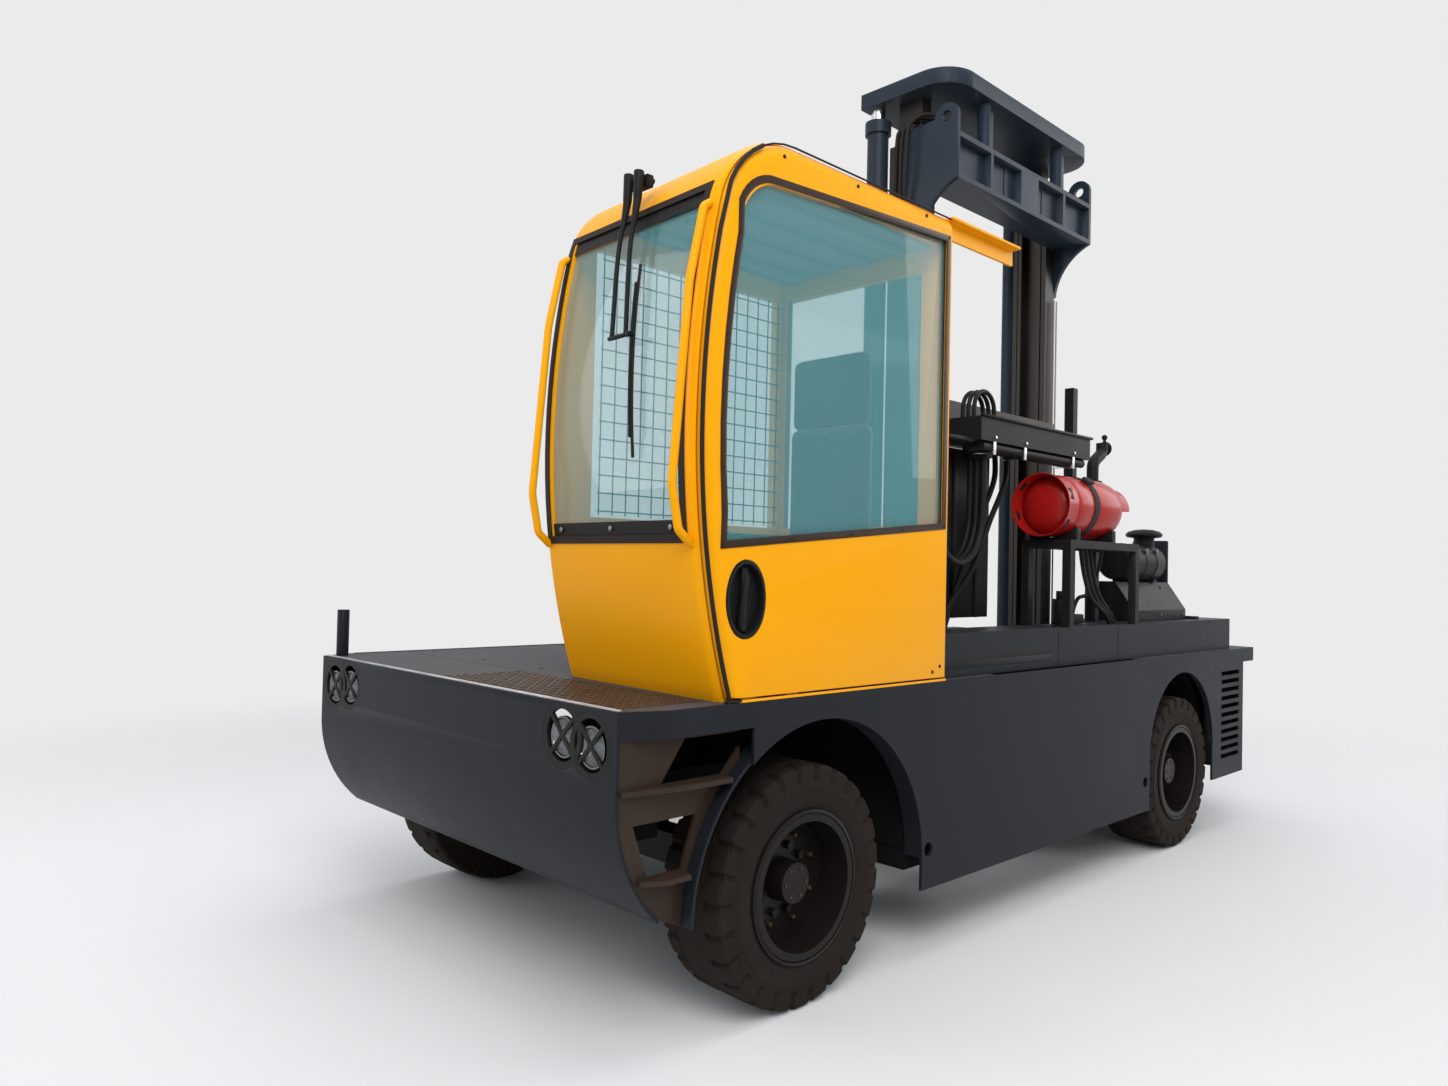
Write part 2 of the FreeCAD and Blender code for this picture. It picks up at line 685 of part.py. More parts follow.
def make_skirts():
    """Near and far side plates of the chassis with the flanges of their arches."""
    flange = skirt_in - d.liner
    lip = skirt_in - d.liner / 4
    near = fuse("near_plates", [
        prism("near_rear_plate", "XZ", [rear_side(d.well_front)], skirt_in, d.side_y),
        prism("near_front_plate", "XZ", [front_side(d.well_front)], skirt_in, d.side_y),
        arch_ring("near_front_ring", d.arch_x, d.arch_z, d.arch_r, flange, skirt_in),
        arch_ring("near_rear_ring", d.rear_axle_x, d.rear_arch_z, d.rear_arch_r, lip, skirt_in),
    ])
    keep("skirt_near", cut("near_skirt", near, skirt_holes(
        "near", skirt_in, (d.port_front, d.port_rear), True)))
    keep("skirt_far_front", cut("far_front_skirt", fuse("far_front_plates", [
        prism("far_front_plate", "XZ", [front_side(d.well_front)], -d.side_y, -skirt_in),
        arch_ring("far_front_ring", d.arch_x, d.arch_z, d.arch_r, -skirt_in, -flange),
    ]), skirt_holes("far_front", -d.side_y, (d.port_front,), False)))
    keep("skirt_far_rear", cut("far_rear_skirt", fuse("far_rear_plates", [
        prism("far_rear_plate", "XZ", [rear_side(d.well_rear)], -d.side_y, -skirt_in),
        arch_ring("far_rear_ring", d.rear_axle_x, d.rear_arch_z, d.rear_arch_r, -skirt_in, -lip),
    ]), skirt_holes("far_rear", -d.side_y, (d.port_rear,), True)))


def side_panel(name, low, high, inset):
    """Flat side panel between the bumper's curved front and the arch."""
    edge = d.arch_r + d.plate + d.fit
    front = d.end_x - inset
    return prism(name, "XZ", [[
        (d.chin_x - inset * 0.668, d.chin_z + inset * 0.744),
        (front, d.chin_top, d.chin_r - inset),
        (front, band_low),
        (d.arch_x + edge * 0.6, band_low),
        (d.arch_x + edge * 0.6, d.arch_z + edge * 0.8),
        (d.arch_x + edge, d.arch_z, -edge),
    ]], low, high)


def make_bumper():
    """Front plate curved under at its lower edge, side panels and the chamfered band."""
    inner_x = d.end_x - d.plate
    face = prism("bumper_face", "XZ", [[
        (d.end_x, d.deck_z),
        (inner_x, d.deck_z),
        (inner_x, d.chin_top),
        (d.chin_x - d.plate * 0.668, d.chin_z + d.plate * 0.744, d.plate - d.chin_r),
        (d.chin_x, d.chin_z),
        (d.end_x, d.chin_top, d.chin_r),
    ]], -d.recess_y, d.recess_y)
    pieces = [face]
    low, high = -d.recess_y, d.plate - d.recess_y
    for side in ("near", "far"):
        if side == "far":
            pieces.append(side_panel("bumper_far_panel", low, high, d.fit * 0))
        sign = 1 if side == "near" else -1
        outer = [(d.end_x, d.recess_y * sign), (d.band_front_x, d.side_y * sign)]
        inner = [(d.band_front_x, skirt_in * sign), (inner_x, (d.recess_y - d.plate) * sign)]
        pieces.append(prism(f"bumper_{side}_chamfer", "XY", [outer + inner], band_low, d.deck_z))
        ledge = [(d.end_x - d.plate / 2, (d.recess_y - d.plate) * sign),
                 (d.band_front_x + d.plate * 2.5, (skirt_in - d.plate / 4) * sign),
                 (d.band_front_x, (skirt_in - d.fit) * sign),
                 (d.arch_x + d.arch_r * 0.6, (skirt_in - d.fit) * sign),
                 (d.arch_x + d.arch_r * 0.6, (d.recess_y - d.plate) * sign)]
        pieces.append(prism(f"bumper_{side}_ledge", "XY", [ledge], band_low,
                            band_low + d.plate))
    keep("bumper_front", cut("bumper", fuse("bumper_pieces", pieces),
                             lamp_holes(d.ring_r + d.fit)))


def make_steps():
    """Near side panel with its two foot openings, and the treads that stand out from it."""
    out = d.side_y - 2
    holes = (
        [(d.hole_front, d.hole_top), (d.hole_rear, d.hole_top),
         (d.hole_rear_low, d.step_high), (d.hole_front_low, d.step_high)],
        [(d.toe_front, d.step_mid), (d.toe_rear, d.step_mid),
         (d.toe_rear_low, d.step_low), (d.toe_front_low, d.step_low)],
    )
    inner, outer = d.recess_y - d.plate, d.recess_y
    panel = side_panel("step_panel", inner, outer, d.plate + d.fit)
    pieces = [cut("step_openings", panel, [
        prism(f"foot_hole_{index}", "XZ", [outline], inner - 1, outer + 1)
        for index, outline in enumerate(holes)])]
    for label, top, tip, kink, rear in (
            ("upper", d.step_high, d.tread_tip, d.tread_kink, d.tread_rear),
            ("lower", d.step_low, d.toe_tip, d.toe_kink, d.toe_end)):
        pieces.append(prism(f"{label}_tread", "XY", [[
            (tip, d.recess_y - 1), (tip, d.recess_y + d.tread), (tip - kink, out),
            (tip - rear, out), (tip - rear - d.tread_heel, d.recess_y - 1)]],
            top - d.tread, top))
    keep("entry_steps", fuse("step_pieces", pieces))


def make_decks():
    """Front and rear load decks with their edge bands."""
    near = skirt_in - d.fit
    front = prism("front_plate", "XY", [[
        (d.well_front, -near), (d.band_front_x, -near),
        (d.end_x - d.plate - d.fit, -(d.recess_y - d.plate)),
        (d.end_x - d.plate - d.fit, d.recess_y - d.plate), (d.band_front_x, near),
        (d.well_front, near)]], d.deck_z - d.plate, d.deck_z)
    keep("deck_front", front)
    hatch_hole = [(d.cover_rear + 30, d.cover_in + 30), (d.hatch_front - 30, d.cover_in + 30),
                  (d.hatch_front - 30, d.cover_y - 60), (d.cover_rear + 30, d.cover_y - 60)]
    rear = prism("rear_plate", "XY", [[
        (-d.end_x + d.plate, -near), (d.well_rear, -near),
        (d.well_rear, near), (-d.end_x + d.plate, near)], hatch_hole],
        d.deck_z - d.plate, d.deck_z)
    band = box("rear_band", (-d.end_x, -near, band_low), (d.plate - d.end_x, near, d.deck_z))
    under = box("rear_under", (d.plate - d.end_x, -near, band_low),
                (d.tail_x, near, band_low + d.plate))
    keep("deck_rear", fuse("rear_deck", [rear, band, under]))
    keep("corner_post", rod("corner_post", "Z",
                            (d.post_x, -d.post_y, d.deck_z + d.fit), d.post_r, d.post_high))


def make_frame():
    """Mast well walls, near girder, longitudinal members and the reach rails."""
    low, high = d.rail_z - 30, d.deck_z - d.plate - d.fit
    side = skirt_in - d.fit
    pieces = [
        box("well_front_wall", (d.well_front, -side, low), (d.well_front + d.wall, side, high)),
        box("well_rear_wall", (d.well_rear - d.wall, -side, low), (d.well_rear, side, high)),
        box("near_girder", (d.well_rear, d.well_y, low), (d.well_front, side, high)),
    ]
    top = d.member_z + d.member_high
    for sign in (-1, 1):
        y = d.member_y * sign - d.member / 2
        pieces.append(box(f"front_member_{sign + 1}", (d.well_front + d.wall, y, d.member_z),
                          (d.member_front, y + d.member, top)))
        y = d.rear_member_y * sign - d.member / 2
        pieces.append(box(f"rear_member_{sign + 1}", (d.tail_x + d.plate + d.fit, y, d.member_z),
                          (d.well_rear - d.wall, y + d.member, top)))
    for end, wall, into in (("front", d.well_front, -1), ("rear", d.well_rear, 1)):
        deep = wall + d.rail_deep * into
        x_low, x_high = (deep, wall) if into < 0 else (wall, deep)
        for level, z in (("low", d.rail_z), ("high", d.rail_z + d.rail_high - d.rail_web)):
            pieces.append(box(f"{end}_rail_{level}", (x_low, -side, z),
                              (x_high, d.well_y, z + d.rail_web)))
    keep("chassis_frame", fuse("frame_pieces", pieces))


def make_rear_panel():
    """Rear panel under the overhang, with its grille frame."""
    near = skirt_in - d.fit
    panel = box("tail_panel", (d.tail_x, -near, d.tail_z), (d.tail_x + d.plate, near, band_low))
    hole = box("tail_hole", (d.tail_x - 1, d.grille_low_y, d.grille_low),
               (d.tail_x + d.plate + 1, d.grille_high_y, d.grille_high))
    keep("rear_panel", cut("rear_panel", panel, [hole]))
    step = (d.grille_high - d.grille_low) / 9
    bars = [box("grille_left", (d.tail_x, d.grille_low_y + d.fit, d.grille_low + d.fit),
                (d.tail_x + d.plate, d.grille_low_y + 20, d.grille_high - d.fit)),
            box("grille_right", (d.tail_x, d.grille_high_y - 20, d.grille_low + d.fit),
                (d.tail_x + d.plate, d.grille_high_y - d.fit, d.grille_high - d.fit))]
    for index in range(9):
        z = d.grille_low + step * index + step / 3
        bars.append(box(f"grille_bar_{index}", (d.tail_x, d.grille_low_y + 20, z),
                        (d.tail_x + d.plate, d.grille_high_y - 20, z + step / 3)))
    keep("rear_grille", fuse("rear_grille", bars))


def make_covers():
    """Raised covers along the near side, and the hinged hatch at their rear end."""
    top = d.cover_z
    low = d.deck_z + d.fit
    front = box("front_cover", (d.cover_joint + d.fit, d.well_y, low),
                (d.cover_front, d.cover_y, top))
    keep("side_cover_front", front)
    rear = prism("rear_cover", "XY", [[
        (d.cover_rear, d.cover_in), (d.well_rear, d.cover_in), (d.well_rear, d.well_y),
        (d.cover_joint - d.fit, d.well_y), (d.cover_joint - d.fit, d.cover_y),
        (d.cover_rear, d.cover_y)]], low, top)
    rim = d.hatch_thick
    well = box("hatch_well", (d.cover_rear + rim, d.cover_in + rim, low - 1),
               (d.hatch_front - rim, d.cover_y - rim, top + 1))
    seat = box("hatch_seat", (d.cover_rear - 1, d.cover_in - 1, top - d.hatch_thick - d.fit),
               (d.hatch_front, d.cover_y + 1, top + 1))
    axis_x, axis_z = d.hatch_front - d.door_gap / 2, top + d.hinge_r + 1
    middle = (d.cover_in + d.cover_y) / 2
    end_y = middle + d.hinge_long / 2
    fixed = []
    for tag, start in (("far", end_y * -1 + middle * 2 - d.shoe - 2), ("near", end_y + 2)):
        fixed.append(rod(f"hinge_{tag}", "Y", (axis_x, start, axis_z), d.hinge_r, d.shoe))
        fixed.append(box(f"hinge_leaf_{tag}", (axis_x + d.door_gap / 2 + 1, start, top - 1),
                         (axis_x + d.shoe / 2, start + d.shoe, axis_z)))
        fixed.append(box(f"hinge_web_{tag}", (axis_x, start, axis_z - 1),
                         (axis_x + d.shoe / 2, start + d.shoe, axis_z + d.hinge_r / 2)))
    keep("side_cover_rear", fuse("rear_covers", [cut("rear_cover_open", rear, [well, seat])]
                                 + fixed))
    start = middle - d.hinge_long / 2
    keep("service_hatch", fuse("hatch_pieces", [
        box("hatch_lid", (d.cover_rear, d.cover_in, top - d.hatch_thick),
            (d.hatch_front - d.door_gap, d.cover_y, top)),
        rod("hinge_moving", "Y", (axis_x, start, axis_z), d.hinge_r, d.hinge_long),
        box("hinge_leaf_moving", (axis_x - d.shoe / 2, start, top - 1),
            (axis_x, start + d.hinge_long, axis_z))]))


def make_engine():
    """Engine as one plain block between the rear members."""
    keep("engine_block", box("engine_block", (d.engine_rear, -d.engine_half, d.engine_low),
                             (d.engine_front, d.engine_half, d.engine_top)))


def lamp_places():
    """Side, tag and centre of each of the four lamp rings."""
    for side in (-1, 1):
        for place in (-1, 1):
            y = d.lamp_y * side + d.lamp_gap / 2 * place
            z = d.lamp_z - d.lamp_drop / 2 * (place * side)
            yield side, f"{side + 1}{place + 1}", y, z


def lamp_holes(radius):
    """Round cutters through the bumper face, one for each lamp ring."""
    start = d.end_x - d.plate - 1
    return [rod(f"lamp_hole_{tag}", "X", (start, y, z), radius, d.plate + 2)
            for side, tag, y, z in lamp_places()]


def make_lamps():
    """Ring guards with crossed bars, in the holes of the bumper, over round lamps."""
    back = d.end_x - d.plate
    guards = []
    lamps = []
    for side, tag, y, z in lamp_places():
        at = (back, y, z)
        disc = rod(f"guard_disc_{tag}", "X", at, d.ring_r, d.plate)
        hole = rod(f"guard_hole_{tag}", "X", (back - 1, y, z), d.ring_r - d.ring_wide,
                   d.plate + 2)
        pieces = [cut(f"guard_ring_{tag}", disc, [hole])]
        half = d.ring_r - d.ring_wide / 2
        for turn in (45, -45):
            bar = doc.addObject("Part::Box", f"guard_bar_{tag}_{turn + 45}")
            bind(bar, "Length", d.plate)
            bind(bar, "Width", half * 2)
            bind(bar, "Height", d.bar_wide)
            bar.Placement.Rotation = FreeCAD.Rotation(FreeCAD.Vector(1, 0, 0), turn)
            cosine, sine = math.cos(math.radians(turn)), math.sin(math.radians(turn))
            across = half * cosine - d.bar_wide / 2 * sine
            up = half * sine + d.bar_wide / 2 * cosine
            pieces.append(put(bar, (back, y - across, z - up)))
        guards.append((side, fuse(f"guard_{tag}", pieces)))
        lamps.append(rod(f"lamp_{tag}", "X", (back - d.lamp_deep - d.fit, y, z), d.lamp_r,
                         d.lamp_deep))
    pairs = [fuse(f"guard_pair_{side + 1}", [g for s, g in guards if s == side])
             for side in (-1, 1)]
    keep("lamp_guards", group("lamp_guards", pairs))
    keep("headlamps", group("headlamps", lamps))


# Wheels: rim with disc, hub and nuts, and a solid tyre, turned about the axle.
def faceted_ring(outline, count):
    """A closed ring with flat facets about +Y; its (along, radius) points lie mid-facet."""
    half = math.pi / count
    angles = [half * (2 * index + 1) for index in range(count)]
    rings = [[FreeCAD.Vector(radius / math.cos(half) * math.cos(turn), along,
                             radius / math.cos(half) * math.sin(turn)) for turn in angles]
             for along, radius in outline]
    faces = []
    for here, there in zip(rings, rings[1:] + rings[:1]):
        for index in range(count):
            after = (index + 1) % count
            corners = [here[index], here[after], there[after], there[index], here[index]]
            faces.append(Part.Face(Part.makePolygon(corners)))
    ring = Part.makeSolid(Part.makeShell(faces))
    return ring if ring.Volume > 0 else ring.reversed()


def notched_tyre(outline):
    """The tyre's ring with notches between the lugs of both shoulders."""
    ring = faceted_ring([(measure(a).number, measure(r).number) for a, r in outline],
                        TYRE_FACETS)
    deep, wide, long = d.lug_deep.number, d.lug_wide.number, d.lug_long.number
    tyre_r, tyre_wide = d.tyre_r.number, d.tyre_wide.number
    notches = []
    for index in range(TYRE_FACETS // 2):
        for start, shift in ((-1, 0), (tyre_wide - long, 1)):
            notch = Part.makeBox(wide, long + 1, deep * 3,
                                 FreeCAD.Vector(-wide / 2, start, tyre_r - deep))
            turn = 360 / TYRE_FACETS * (2 * index + shift)
            notch.rotate(FreeCAD.Vector(), FreeCAD.Vector(0, 1, 0), turn)
            notches.append(notch)
    return ring.cut(notches)


def make_wheel(name, x, side):
    """One tyre and one rim, with the rim's dished face on the outer side."""
    into = -side
    wide = d.tyre_wide
    lip = d.lip_wide
    at = (x, d.tyre_y * side, d.tyre_r)
    seat = d.seat_r + d.fit
    low = d.seat_r + d.rim_lip + d.lip_room
    side_r = low + d.bulge
    tyre = doc.addObject("Part::Feature", f"{name}_tyre")
    tyre.Shape = notched_tyre([
        (lip, seat), (lip, low), (0, side_r), (0, d.tyre_r - d.tread_round),
        (d.tread_round, d.tyre_r), (wide - d.tread_round, d.tyre_r),
        (wide, d.tyre_r - d.tread_round), (wide, side_r), (wide - lip, low), (wide - lip, seat),
    ])
    keep(f"tyre_{name}", put(tyre, (x, d.tyre_y - wide if side > 0 else -d.tyre_y, d.tyre_r)))
    edge = d.seat_r + d.rim_lip
    inside = d.seat_r - d.rim_wall
    rim = [
        (0, edge), (0, inside), (d.disc_deep, inside), (d.disc_deep, d.hub_r),
        (d.disc_deep - d.hub_proud, d.hub_r - 6), (d.disc_deep - d.hub_proud, 0),
        (d.disc_deep + d.rim_wall, 0), (d.disc_deep + d.rim_wall, inside), (wide, inside),
        (wide, edge), (wide - lip + d.fit, edge), (wide - lip + d.fit, d.seat_r),
        (lip - d.fit, d.seat_r), (lip - d.fit, edge),
    ]
    pieces = [turned(f"{name}_rim_ring", "Y", [(a * into, r) for a, r in rim], at)]
    face = (d.tyre_y - d.disc_deep) * side
    start = face - 1 if side > 0 else face - d.nut_high + 1
    for index in range(WHEEL_NUTS):
        turn = 360 / WHEEL_NUTS * index
        cosine, sine = math.cos(math.radians(turn)), math.sin(math.radians(turn))
        pieces.append(rod(f"{name}_nut_{index}", "Y",
                          (x + d.nut_circle * cosine, start, d.tyre_r + d.nut_circle * sine),
                          d.nut_r, d.nut_high))
    keep(f"rim_{name}", fuse(f"{name}_rim", pieces))


def make_wheels():
    """Front and rear wheels on both sides."""
    for name, x, side in (("front_near", d.front_axle_x, 1), ("front_far", d.front_axle_x, -1),
                          ("rear_near", d.rear_axle_x, 1), ("rear_far", d.rear_axle_x, -1)):
        make_wheel(name, x, side)


def make_axles():
    """Steering axle in front, drive axle behind, and the knuckles of the front wheels."""
    x, z = d.front_axle_x, d.tyre_r
    half = d.axle_beam / 2
    ear = d.knuckle_high / 2 + d.fit
    pieces = [
        box("front_beam", (x - half, -(d.king_y - d.king_r - d.door_gap), z - half),
            (x + half, d.king_y - d.king_r - d.door_gap, z + half)),
        box("front_mount", (x - half, -d.member_y, z + half), (x + half, d.member_y,
                                                               d.member_z - d.fit)),
    ]
    for side in (-1, 1):
        for level in (-1, 1):
            low = z + (ear + d.ear / 2) * level - d.ear / 2
            y_low, y_high = sorted(
                (side * (d.king_y + d.king_r), side * (d.king_y - d.king_r - d.ear_root)),
                key=lambda length: length.number)
            pieces.append(box(f"ear_{side + 1}_{level + 1}", (x - half, y_low, low),
                              (x + half, y_high, low + d.ear)))
        root_low, root_high = sorted(
            (side * (d.king_y - d.king_r - d.ear_root),
             side * (d.king_y - d.king_r - d.door_gap)), key=lambda length: length.number)
        pieces.append(box(f"ear_root_{side + 1}", (x - half, root_low, z - ear - d.ear),
                          (x + half, root_high, z + ear + d.ear)))
        hub = rod(f"king_{side + 1}", "Z", (x, side * d.king_y, z - d.knuckle_high / 2),
                  d.king_r, d.knuckle_high)
        stub_end = d.tyre_y - d.disc_deep - d.rim_wall - d.fit
        start = d.king_y if side > 0 else -stub_end
        stub = rod(f"stub_{side + 1}", "Y", (x, start, z), d.axle_r, stub_end - d.king_y)
        keep("knuckle_near" if side > 0 else "knuckle_far",
             fuse(f"knuckle_pieces_{side + 1}", [hub, stub]))
    keep("front_axle", fuse("front_axle_pieces", pieces))
    end = d.tyre_y - d.disc_deep - d.rim_wall - d.fit
    tube = rod("rear_tube", "Y", (d.rear_axle_x, -end, z), d.tube_r, end * 2)
    bulb = rod("rear_bulb", "Y", (d.rear_axle_x, -d.bulb_y, z), d.bulb_r, d.bulb_y * 2)
    mount = [box(f"rear_mount_{sign + 1}",
                 (d.rear_axle_x - half, d.rear_member_y * sign - d.member / 2, z),
                 (d.rear_axle_x + half, d.rear_member_y * sign + d.member / 2,
                  d.member_z - d.fit)) for sign in (-1, 1)]
    keep("rear_axle", fuse("rear_axle_pieces", [tube, bulb] + mount))


# Cab: a hollow shell of side outline and width, cut for its windows and its door.
cab_low = d.deck_z + d.fit


front_low_r = (d.nose_lean * d.nose_lean + (d.nose_mid_z - cab_low) * (d.nose_mid_z - cab_low)) \
    / (d.nose_lean * 2)


def cab_profile(inset, bottom, rear):
    """Side outline of the cab moved inwards: every arc keeps its centre and meets the next."""
    low_r, high_r, brow_r = front_low_r - inset, d.nose_high_r - inset, d.brow_r - inset
    low_x = nose_mid - front_low_r
    high_x = nose_mid - d.nose_high_r
    drop = d.nose_mid_z - bottom
    brow_z = d.cab_top - d.brow_r
    apart = d.nose_high_r - d.brow_r
    rise = brow_z - d.nose_mid_z
    across = root(apart * apart - rise * rise)
    brow_x = high_x + across
    return [
        (rear, bottom),
        (low_x + root(low_r * low_r - drop * drop), bottom),
        (nose_mid - inset, d.nose_mid_z, low_r),
        (brow_x + brow_r * across / apart, brow_z + brow_r * rise / apart, high_r),
        (brow_x, d.cab_top - inset, brow_r),
        (rear, d.cab_top - inset),
    ]


def turned_front(name, inset, bottom, low, high):
    """The cab's outline as a prism turned in plan about the near end of its front."""
    body = prism(name, "XZ", [cab_profile(inset, bottom, d.cab_rear - d.end_x / 10)],
                 low - d.side_y / 10, high + d.side_y / 10)
    turn = math.radians(d.front_turn.number)
    body.Placement.Rotation = FreeCAD.Rotation(FreeCAD.Vector(0, 0, 1), -d.front_turn.number)
    cosine, sine = math.cos(turn), math.sin(turn)
    return put(body, (nose_mid * (1 - cosine) - d.side_y * sine,
                      nose_mid * sine + d.side_y * (1 - cosine), 0))


def front_edges(shape, y):
    """Numbers of the edges where the cab's front and roof meet one side."""
    found = []
    for number, edge in enumerate(shape.Edges, start=1):
        points = [vertex.Point for vertex in edge.Vertexes]
        points.append(edge.valueAt((edge.FirstParameter + edge.LastParameter) / 2))
        level = sum(abs(point.y - y) < 0.01 for point in points) == len(points)
        top = min(point.z for point in points) > cab_low.number + 1 \
            or max(point.z for point in points) - min(point.z for point in points) > 100
        ahead = max(point.x for point in points) > d.cab_rear.number + 10
        if level and top and ahead:
            found.append(number)
    return found


def door_window(grow):
    """Outline of the door's window, grown by a gap."""
    rear = d.door_rear + d.door_rim - grow
    front = nose_mid - d.window_in + grow
    return [
        (rear, d.sill_rear - grow),
        (front - d.sill_back, d.sill_front - grow),
        (front, d.nose_mid_z, front_low_r),
        (front - d.head_back, d.head_front - d.corner_r, d.nose_high_r),
        (front - d.head_back - d.corner_r, d.head_front + grow, d.corner_r + 20 + grow),
        (rear, d.head_rear + grow),
    ]


def cab_block():
    """The cab's outer form: turned front, flat sides, rounded front and roof edges."""
    form = turned_front("cab_form", 0, cab_low, d.cab_far, d.side_y)
    room = box("cab_form_room", (d.cab_rear, d.cab_far, cab_low),
               (d.end_x, d.side_y, d.cab_top + 1))
    plain = common("cab_plain", form, room)
    doc.recompute()
    rounded = doc.addObject("Part::Fillet", "cab_rounded")
    rounded.Base = plain
    rounded.Edges = [(number, radius.number, radius.number)
                     for y, radius in ((d.side_y, d.edge_near), (d.cab_far, d.edge_far))
                     for number in front_edges(plain.Shape, y.number)]
    return rounded


def make_cab():
    """Cab shell with its floor, and the roof above the windows."""
    wall = d.cab_wall
    form = turned_front("cab_inner_form", wall, cab_low + d.cab_floor, d.cab_far, d.side_y)
    room = box("cab_inner_room", (d.cab_rear + wall, d.cab_far + wall, cab_low),
               (d.end_x, d.door_in - wall, d.cab_top))
    inner = common("cab_inner", form, room)
    door = prism("cab_door_room", "XZ", [cab_profile(d.door_front - d.door_gap,
                                                     d.door_low - d.door_gap,
                                                     d.cab_rear - 1)],
                 d.door_in - d.door_gap, d.side_y + 1)
    high_back = d.head_back + d.sill
    opening = prism("cab_door_opening", "XZ", [[
        (d.cab_rear + wall, d.door_low + d.sill), (d.nose_low - d.post, d.door_low + d.sill),
        (nose_mid - d.post - d.sill, d.nose_mid_z, front_low_r),
        (nose_mid - d.post - high_back, d.roof_z - d.post, d.nose_high_r),
        (nose_mid - d.post - high_back, d.roof_z - d.sill),
        (d.cab_rear + wall, d.roof_z - d.sill)]],
        d.door_in - wall - 1, d.side_y)
    front = box("windscreen_hole", (d.nose_low - d.post, glass_far, d.glass_low),
                (nose_mid + 50, glass_near, d.glass_high))
    near_edge = glass_near - d.far_pane_in
    rear = box("rear_window_hole", (d.cab_rear - 1, glass_far, d.sill_rear),
               (d.cab_rear + wall + 1, near_edge, d.glass_high))
    far_ends = d.cab_rear + wall + d.far_pane_in, d.nose_low - d.post
    far = box("far_window_hole", (far_ends[0], d.cab_far - 1, d.sill_rear),
              (far_ends[1], d.cab_far + wall + 1, d.glass_high))
    whole = cut("cab_whole", cab_block(), [inner, door, opening, front, rear, far])
    above = box("roof_room", (d.cab_rear - 10, d.cab_far - 10, d.roof_z),
                (d.end_x, d.side_y + 10, d.cab_top + 10))
    below = box("shell_room", (d.cab_rear - 10, d.cab_far - 10, cab_low - 10),
                (d.end_x, d.side_y + 10, d.roof_z - d.fit))
    keep("cab_shell", common("cab_shell", whole, below))
    keep("cab_roof", common("cab_roof", whole, above))
    outside = turned_front("pane_outer", d.pane_in, cab_low, d.cab_far, d.side_y)
    inside = turned_front("pane_inner", d.pane_in + d.glass, cab_low - 1, d.cab_far - 1,
                          d.side_y + 1)
    band = box("pane_band", (d.nose_low - d.post, glass_far + d.fit, d.glass_low + d.fit),
               (nose_mid + 50, glass_near - d.fit, d.glass_high - d.fit))
    keep("windscreen", common("windscreen", cut("pane_shell", outside, [inside]), band))
    panes = [
        box("rear_pane", (d.cab_rear + d.pane_in, glass_far + d.fit, d.sill_rear + d.fit),
            (d.cab_rear + d.pane_in + d.glass, near_edge - d.fit, d.glass_high - d.fit)),
        box("far_pane", (far_ends[0] + d.fit, d.cab_far + d.pane_in, d.sill_rear + d.fit),
            (far_ends[1] - d.fit, d.cab_far + d.pane_in + d.glass, d.glass_high - d.fit)),
    ]
    keep("cab_glass", group("cab_glass", panes))


def oval(grow):
    """Four-arc oval of the door handle's recess, grown by a gap."""
    end_r = d.grip_end_r
    wide, high = d.grip_wide, d.grip_high
    end_up = high - end_r
    side_r = (wide * wide + end_up * end_up - end_r * end_r) / ((wide - end_r) * 2)
    side_in = side_r - wide
    apart = side_r - end_r
    across = side_in / apart * (end_r + grow)
    up = end_up + end_up / apart * (end_r + grow)
    x, z = d.grip_x, d.grip_z
    return [(x + across, z + up, side_r + grow), (x - across, z + up, end_r + grow),
            (x - across, z - up, side_r + grow), (x + across, z - up, end_r + grow)]


def make_door():
    """Sliding door outside the cab's near side: panel, glass and recessed grip."""
    leaf = prism("door_leaf", "XZ", [cab_profile(d.door_front, d.door_low, d.door_rear)],
                 d.door_in, d.side_y)
    leaf = common("door_rounded", leaf, cab_block())
    hole = prism("door_hole", "XZ", [door_window(0)], d.door_in - 1, d.side_y + 1)
    cup = prism("grip_cup", "XZ", [oval(0)], d.door_in - 1, d.side_y + 1)
    shoes = [box(f"door_shoe_{index}", (x, d.door_in + 8, d.door_low - d.door_gap + d.fit),
                 (x + d.shoe, d.side_y - 8, d.door_low + 1))
             for index, x in enumerate((d.shoe_rear, d.shoe_front))]
    keep("door_panel", fuse("door_panel", [cut("door_open_leaf", leaf, [hole, cup])] + shoes))
    middle = (d.door_in + d.side_y) / 2
    keep("door_glass", prism("door_pane", "XZ", [door_window(-d.fit)],
                             middle - d.glass / 2, middle + d.glass / 2))
    dish = prism("grip_dish", "XZ", [oval(-d.fit)], d.door_in + 2, d.door_in + 8)
    bar = box("grip_bar", (d.grip_x - 12, d.door_in + 7, d.grip_z - d.grip_high * 0.8),
              (d.grip_x + 12, d.door_in + 28, d.grip_z + d.grip_high * 0.8))
    keep("door_handle", fuse("door_handle", [dish, bar]))
    rail_low = d.roof_z + 10
    keep("door_rail", fuse("door_rail", [
        box("rail_hood", (d.hood_rear, d.door_in - 20, d.cab_top - 14),
            (d.cab_rear - d.fit, d.side_y - 2, d.cab_top - 2)),
        box("rail_back", (d.hood_rear, d.door_in - 20, rail_low),
            (d.cab_rear - d.fit, d.door_in - d.door_gap, d.cab_top - 2)),
    ]))


